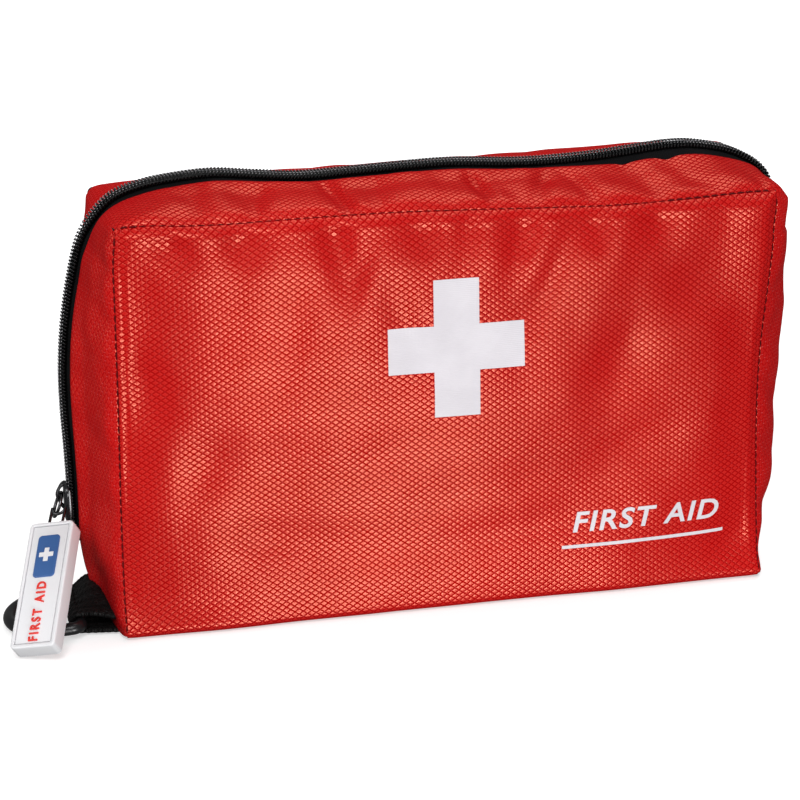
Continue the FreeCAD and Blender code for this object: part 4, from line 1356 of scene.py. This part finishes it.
def slab(x, z, y, thick, seed, grid=(46, 46), seal=2.2, wrinkle=0.4, scale=15, edge=0.22,
         crumple=0.0, swap=False):
    """One puffed packet with flat sealed edges: points, faces and cloth values.

    x and z are (from, to) and y is the middle; swap exchanges the packet's x and y.
    edge is half the thickness at the rim; crumple adds sharp creases to the first face.
    """
    (x0, x1), (z0, z1) = x, z
    X, Z = np.meshgrid(np.linspace(x0, x1, grid[0]), np.linspace(z0, z1, grid[1]),
                       indexing="ij")
    from_x, from_z = np.minimum(X - x0, x1 - X), np.minimum(Z - z0, z1 - Z)
    soft = min(9.0, (x1 - x0) / 3, (z1 - z0) / 3)
    puff = (smooth(0, 1, np.clip((from_x - seal * 0.4) / soft, 0, 1))
            * smooth(0, 1, np.clip((from_z - seal) / soft, 0, 1)))
    first = (value_noise(X, Z, scale, seed) + 0.6 * value_noise(X, Z, scale / 2.4, seed + 1)
             + 0.3 * value_noise(X, Z, scale / 5, seed + 2)) / 1.9
    second = (value_noise(X, Z, scale, seed + 3)
              + 0.6 * value_noise(X, Z, scale / 2.4, seed + 4)) / 1.6
    creases = 2 * np.abs(value_noise(X + Z, X - Z, scale * 0.8, seed + 8)) - 0.5
    first = first * (1 - crumple) + crumple * creases
    half = edge + (thick / 2 - edge - wrinkle) * puff ** 0.7
    wave = 0.5 * (thick / 2 - edge) * 0.35 * value_noise(X, Z, 13, seed + 5) * (1 - puff)
    depth = wrinkle * (0.25 + 0.75 * puff) * 0.95
    V = np.vstack([
        np.stack([X, y + side * half + wave + depth * np.clip(noise, -1, 1), Z],
                 -1).reshape(-1, 3)
        for side, noise in ((-1, first), (1, second))])
    cloth = np.stack([V[:, 0], V[:, 2], (V[:, 2] - z0) / (z1 - z0)], 1)
    if swap:
        V = V[:, [1, 0, 2]]
    return V, np.vstack(shell_faces(*grid, -1 if swap else 1)).tolist(), cloth


def packets(name, material, *slabs):
    V, F = join_parts([(v, f) for v, f, _ in slabs])
    return add_mesh(name, V, F, [material], cloth=np.vstack([c for _, _, c in slabs]))


def roll_profile(radius, bore, length, pitch):
    """Half section of a roll: wound first end, outer wrap, wound second end."""
    turns = list(enumerate(np.arange(bore, radius - 0.8, pitch / 2)))
    profile = [(r, 0.55 if i % 2 else 0.1) for i, r in turns]
    profile += [(radius - 0.7, 0.1), (radius - 0.15, 0.45)]
    profile += [(radius, z) for z in np.linspace(1.2, length - 1.2, 30)]
    profile += [(radius - 0.15, length - 0.45), (radius - 0.7, length - 0.1)]
    profile += [(r, length - (0.55 if i % 2 else 0.1)) for i, r in turns[::-1]]
    return np.array(profile)


def rolled(name, material, centres, radius, bore, length, pitch, axis):
    """Rolls of bandage or tape, each starting at its (x, y, z) and running along the axis."""
    parts, cloths = [], []
    profile = roll_profile(radius, bore, length[0], pitch)
    for i, (x, y, z) in enumerate(centres):
        profile = roll_profile(radius, bore, length[i], pitch)
        theta = np.linspace(0, 2 * np.pi, 84, endpoint=False)
        R, T = np.meshgrid(profile[:, 0], theta, indexing="ij")
        along = np.meshgrid(profile[:, 1], theta, indexing="ij")[0]
        outer = smooth(radius - 2.5, radius, R)
        # the wrap spirals, so its loose end makes a small step
        step = 0.45 * (T / (2 * np.pi))
        uneven = 0.35 * (0.5 + 0.5 * value_noise(T * radius, along, 9, 50 + i))
        r = R - outer * step - outer * uneven
        r = r + ((1 - outer) * 0.25 * np.sin(T + R * 1.3) * smooth(bore, bore + 2, R)
                 * smooth(radius - 0.5, radius - 2.5, R))
        a, b = r * np.cos(T), r * np.sin(T)
        V = [x + a, y + b, z + along] if axis == "z" else [x + a, y + along, z + b]
        F = grid_quads(len(profile), 84, wrap_u=True, wrap_v=True, flip=axis == "y")
        parts.append((np.stack(V, -1).reshape(-1, 3), F.tolist()))
        cloths.append(np.stack([T * radius, along + R, 0 * along], -1).reshape(-1, 3))
    V, F = join_parts(parts)
    return tidy(add_mesh(name, V, F, [material], cloth=np.vstack(cloths)), 50)


ob = rolled("crepe_bandage_rolls", CREPE, [(35, -1.4, 2.5), (71, -1.4, 2.5)], radius=16.3,
            bore=2.2, length=(61.6, 61.2), pitch=1.5, axis="z")
attach(ob, "root", "bandage_cream", "bandage_rolls")
ob = packets("gauze_packets", GAUZE, *[
    slab(x=(-40 + 0.4 * (i % 2), 12 - 0.4 * (i % 3)), z=(2.5, 56 - 0.5 * i),
         y=-14.25 + 5.2 * i, thick=4.5, seed=60 + 9 * i) for i in range(4)])
attach(ob, "root", "packet_paper", "gauze_packs")
ob = packets("triangular_bandage_packet", COTTON, slab(
    x=(-92, -10), z=(3, 88), y=23.1, thick=7.2, grid=(60, 60), wrinkle=0.7, scale=20, seed=110))
attach(ob, "root", "packet_paper", "triangular_bandage")
ob = packets("rescue_blanket_foil", GOLD, slab(
    x=(2, 92), z=(3, 86), y=22.9, thick=6.8, grid=(90, 84), seal=0.8, wrinkle=0.9, scale=9,
    seed=130, edge=1.2, crumple=0.6))
attach(ob, "root", "foil_gold", "rescue_blanket")
ob = packets("first_aid_leaflet", LEAFLET, slab(
    x=(-92, 8), z=(4, 76), y=27.25, thick=0.5, grid=(24, 20), seal=0.0, wrinkle=0.05,
    scale=24, seed=140, edge=0.12))
attach(ob, "root", "packet_paper", "leaflet")
ob = packets("glove_packet", GLOVE, slab(
    x=(-16, 12), z=(2.5, 66), y=99.5, thick=16.6, grid=(34, 60), wrinkle=1.2, scale=11,
    seed=150, edge=0.4, swap=True))
attach(ob, "root", "glove_wrap", "glove_pack")
ob = packets("plaster_packet", GREEN, slab(
    x=(-70, 5), z=(41, 92), y=-24.7, thick=4.4, grid=(56, 44), wrinkle=0.5, scale=17, seed=160))
attach(ob, "flap", "packet_green", "plaster_pack")
ob = packets("wipe_sachets_foil", SACHET, *[
    slab(x=(15 + 0.8 * i, 70 - 0.6 * (3 - i)), z=(41.2, 93 - 0.9 * (3 - i)), y=-26.5 + 1.5 * i,
         thick=1.3, grid=(44, 40), wrinkle=0.18, scale=12, seed=170 + 7 * i, edge=0.12)
    for i in range(4)])
attach(ob, "flap", "sachet_foil", "wipe_sachets")
ob = rolled("adhesive_tape_roll", ADHESIVE, [(-72, -16.4, 25)], radius=20.4, bore=13.3,
            length=(18.1,), pitch=0.8, axis="y")
attach(ob, "tape_roll", "tape_white", "tape_roll")

# ---------------------------------------------------------------- net pockets


def pocket_path(x0, x1, y_face, y_wall, seed, radius=2.5):
    """Plan of a pocket: from the wall, round two corners along its face, back to the wall."""
    side = 1 if y_wall > y_face else -1

    def corner(x, inward):
        return [(x, y_wall), (x, y_face + side * radius * 1.2),
                (x + inward * radius * 0.3, y_face + side * radius * 0.3),
                (x + inward * radius * 1.2, y_face)]
    points = corner(x0, 1) + [(x, y_face) for x in np.linspace(x0 + 12, x1 - 12, 9)]
    C = spline(points + corner(x1, -1)[::-1], 90)
    C[:, 1] += (0.35 * value_noise(C[:, 0], C[:, 1], 18, seed)
                * smooth(0, 8, np.minimum(C[:, 0] - x0, x1 - C[:, 0])))
    return C


def net_pocket(name, x0, x1, y_face, y_wall, z0, z1, seed):
    """Net with a sagging top edge; returns the object and that edge."""
    C = pocket_path(x0, x1, y_face, y_wall, seed)
    side = 1 if y_wall > y_face else -1
    x, y = C[:, :1], C[:, 1:]
    middle = smooth(x0, x0 + 20, x) * smooth(x1, x1 - 20, x)
    levels = np.linspace(z0, z1, 34)[None]
    sag = (0.9 * middle * smooth(0.6, 1.0, (levels - z0) / (z1 - z0))
           * (0.6 + 0.4 * np.sin(x / 17.0)))
    Z = levels - sag
    X = x + 0 * Z
    Y = y + side * 0.3 * value_noise(X, Z, 16, seed + 1) * middle
    P = np.stack([X, Y, Z], -1)
    UV = np.stack([arc_lengths(C)[:, None] + 0 * Z, Z], -1)
    return cloth_shell(name, P, UV, 0.35, NET, out_sign=side), P[:, -1]


def pocket_binding(top_edge, side):
    """Stitched tape along a pocket's top edge; side is the y direction of its stitched face."""
    C = resample(top_edge, 150)
    C[:, 2] += 0.4 + 0.12 * np.sin(np.arange(150) * 1.3)
    return join_parts([
        tube(C, 1.0, 12, normal=[0, 0, 1], flat=(1.55, 0.75)),
        stitches(C + np.array([0, side * 0.72, -0.4]), np.tile([0, side * 1.0, 0], (150, 1)),
                 pitch=2.6, length=1.9, radius=0.16, lift=0.08, n=5)])


rear_net, rear_top = net_pocket("rear_net_pocket", -97.8, 97.8, y_face=17.2, y_wall=27.2,
                                z0=2.6, z1=93.0, seed=210)
flap_net, flap_top = net_pocket("flap_net_pocket", -79.8, 79.8, y_face=-20.9, y_wall=-27.4,
                                z0=40.2, z1=101.0, seed=220)
attach(rear_net, "root", "mesh_pocket", "rear_pocket")
attach(flap_net, "flap", "mesh_pocket", "flap_pocket")
for name, edge, side, body in (("rear_pocket", rear_top, -1, "root"),
                               ("flap_pocket", flap_top, 1, "flap")):
    ob = add_mesh(name + "_edge_tape", *pocket_binding(edge, side), [BINDING])
    attach(ob, body, "binding_black", name + "_binding")

# ---------------------------------------------------------------- elastic loops and bindings


def ribbon(path, across, width):
    """Flat ribbon of points along a path, with its fabric coordinates."""
    offsets = np.linspace(-0.5, 0.5, 8) * width
    P = path[:, None] + np.array(across, float) * offsets[None, :, None]
    lengths = arc_lengths(path)[:, None]
    UV = np.stack([lengths + 0 * P[..., 0], np.broadcast_to(offsets, P.shape[:2])], -1)
    return P, UV


# Plan of the tweezers' loop: x, y.
TWEEZERS_LOOP = [(-23.6, 17.2), (-23.6, 13.5), (-23.2, 11.9), (-21.5, 11.4), (-17, 11.2),
                 (-12.6, 11.4), (-10.8, 11.9), (-10.4, 13.5), (-10.4, 17.2)]
a = np.linspace(0, 2 * np.pi, 40)
scissors_path = np.stack([np.full(40, -79.5),
                          14.3 + 1.45 * np.cos(a) * (1 + 0.1 * np.sin(2 * a)),
                          99.0 - 5.6 * np.sin(a)], 1)
tweezers_path = resample(np.array([(x, y, 71) for x, y in TWEEZERS_LOOP], float), 40)
for name, path, across, width, thick in (
        ("elastic_loop_scissors", scissors_path, (1, 0, 0), 6.0, 0.55),
        ("elastic_loop_tweezers", tweezers_path, (0, 0, 1), 10.0, 0.5)):
    ob = cloth_shell(name, *ribbon(path, across, width), thick, ELASTIC)
    attach(ob, "root", "elastic_black", "elastic_loops")

# binding along the inner side of the front and back seams
for half, lowest in ((FRONT, 10), (BACK, 6)):
    keep = half.edge[:, 2] > lowest
    C = half.edge[keep] - ZIP_OUT[keep] * 3.2 + np.array([0, -half.sign * 3.0, 0])
    C = resample(C, 300)
    C[:, 1] += 0.15 * np.sin(np.arange(300) * 0.9)
    V, F = tube(C, 1.1, 10, normal=[0, 1, 0], flat=(1.5, 0.8))
    ob = add_mesh(half.name + "_inner_binding", V, F, [BINDING])
    attach(ob, half.body, "binding_black", half.name + "_seam_binding")

# ---------------------------------------------------------------- loaded pieces kept as they are

for material, names in (
        (STEEL, ("scissors_half_front", "scissors_half_rear", "scissors_rivet",
                 "tweezers_arm_left", "tweezers_arm_right", "safety_pins")),
        (SPOOL, ("tape_spool",)), (WIRE, ("puller_ring", "wire_clip")), (RING, ("d_ring",))):
    for name in names:
        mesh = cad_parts[name].data
        mesh.materials.clear()
        mesh.materials.append(material)
        mesh.polygons.foreach_set("use_smooth", np.ones(len(mesh.polygons), bool))

# ---------------------------------------------------------------- stage, lights and camera


def floor_material():
    """Pale floor that glows brighter away from the pouch."""
    s = Shader("studio_floor")
    patches = s.noise(scale=3.0, detail=2.0)
    distance = s.node("ShaderNodeVectorMath", operation="LENGTH")
    s.put(distance.inputs[0], s.object_position())
    glow = s.ramp(Signal(s, distance.outputs["Value"]), start=0.15, end=0.9, low=0.55, high=1.0)
    s.set(Base_Color=s.mix(patches, (0.80, 0.80, 0.80), (0.82, 0.82, 0.82)), Roughness=0.9,
          Specular_IOR_Level=0.0, Emission_Color=(1.0, 1.0, 1.0), Emission_Strength=glow)
    return s.material


def add_floor(reach=6, z=-0.0006):
    """Floor seen only by the camera."""
    mesh = bpy.data.meshes.new("floor")
    corners = [(-reach, -reach, z), (reach, -reach, z), (reach, reach, z), (-reach, reach, z)]
    mesh.from_pydata(corners, [], [(0, 1, 2, 3)])
    mesh.materials.append(floor_material())
    floor = bpy.data.objects.new("floor", mesh)
    SCENE.collection.objects.link(floor)
    for ray in ("diffuse", "glossy", "shadow", "transmission"):
        setattr(floor, "visible_" + ray, False)


def add_world(light=0.18, seen=1.0):
    """White world: dim as a light, full white to the camera."""
    world = bpy.data.worlds.new("studio")
    SCENE.world = world
    world.use_nodes = True
    tree = world.node_tree
    dim = tree.nodes["Background"]
    bright = tree.nodes.new("ShaderNodeBackground")
    path = tree.nodes.new("ShaderNodeLightPath")
    mix = tree.nodes.new("ShaderNodeMixShader")
    for node, strength in ((dim, light), (bright, seen)):
        node.inputs[0].default_value = (1, 1, 1, 1)
        node.inputs[1].default_value = strength
    tree.links.new(path.outputs["Is Camera Ray"], mix.inputs[0])
    tree.links.new(dim.outputs[0], mix.inputs[1])
    tree.links.new(bright.outputs[0], mix.inputs[2])
    tree.links.new(mix.outputs[0], tree.nodes["World Output"].inputs[0])


def area_light(name, location, size, power, target=(0.0, 0.0, 0.07)):
    light = bpy.data.lights.new(name, "AREA")
    light.energy = power
    light.color = (1, 1, 1)
    light.shape = "RECTANGLE"
    light.size, light.size_y = size
    ob = bpy.data.objects.new(name, light)
    SCENE.collection.objects.link(ob)
    ob.location = location
    ob.rotation_mode = "QUATERNION"
    ob.rotation_quaternion = (Vector(target) - Vector(location)).to_track_quat("-Z", "Y")


def add_camera(location, yaw, pitch, roll, lens):
    """Camera turned from the +y view by yaw towards +x, pitch downwards and roll (degrees)."""
    yaw, pitch, roll = (math.radians(angle) for angle in (yaw, pitch, roll))
    level = Vector((math.cos(yaw), -math.sin(yaw), 0))
    view = Vector((math.sin(yaw) * math.cos(pitch), math.cos(yaw) * math.cos(pitch),
                   -math.sin(pitch)))
    down = Vector((-math.sin(pitch) * math.sin(yaw), -math.sin(pitch) * math.cos(yaw),
                   -math.cos(pitch)))
    right = level * math.cos(roll) - down * math.sin(roll)
    up = -(level * math.sin(roll) + down * math.cos(roll))
    data = bpy.data.cameras.new("camera")
    data.sensor_width = 36
    data.lens = lens
    data.clip_start = 0.05
    data.clip_end = 20
    camera = bpy.data.objects.new("camera", data)
    SCENE.collection.objects.link(camera)
    rows = [(*axes, place) for *axes, place in zip(right, up, -view, location)]
    camera.matrix_world = Matrix((*rows, (0, 0, 0, 1)))
    SCENE.camera = camera


add_floor()
add_world()
area_light("front_soft", location=(0.18, -1.20, -0.30), size=(0.34, 0.46), power=8.8)
area_light("key", location=(-0.30, -1.15, 1.05), size=(0.6, 0.6), power=11.5)
area_light("top", location=(0.30, 0.30, 1.35), size=(0.8, 0.8), power=8.0)
area_light("left", location=(-1.3, -0.35, 0.5), size=(0.7, 0.7), power=5.2)
add_camera(location=(-0.1698, -0.6803, 0.2763), yaw=13.09, pitch=16.91, roll=-0.68, lens=96.12)
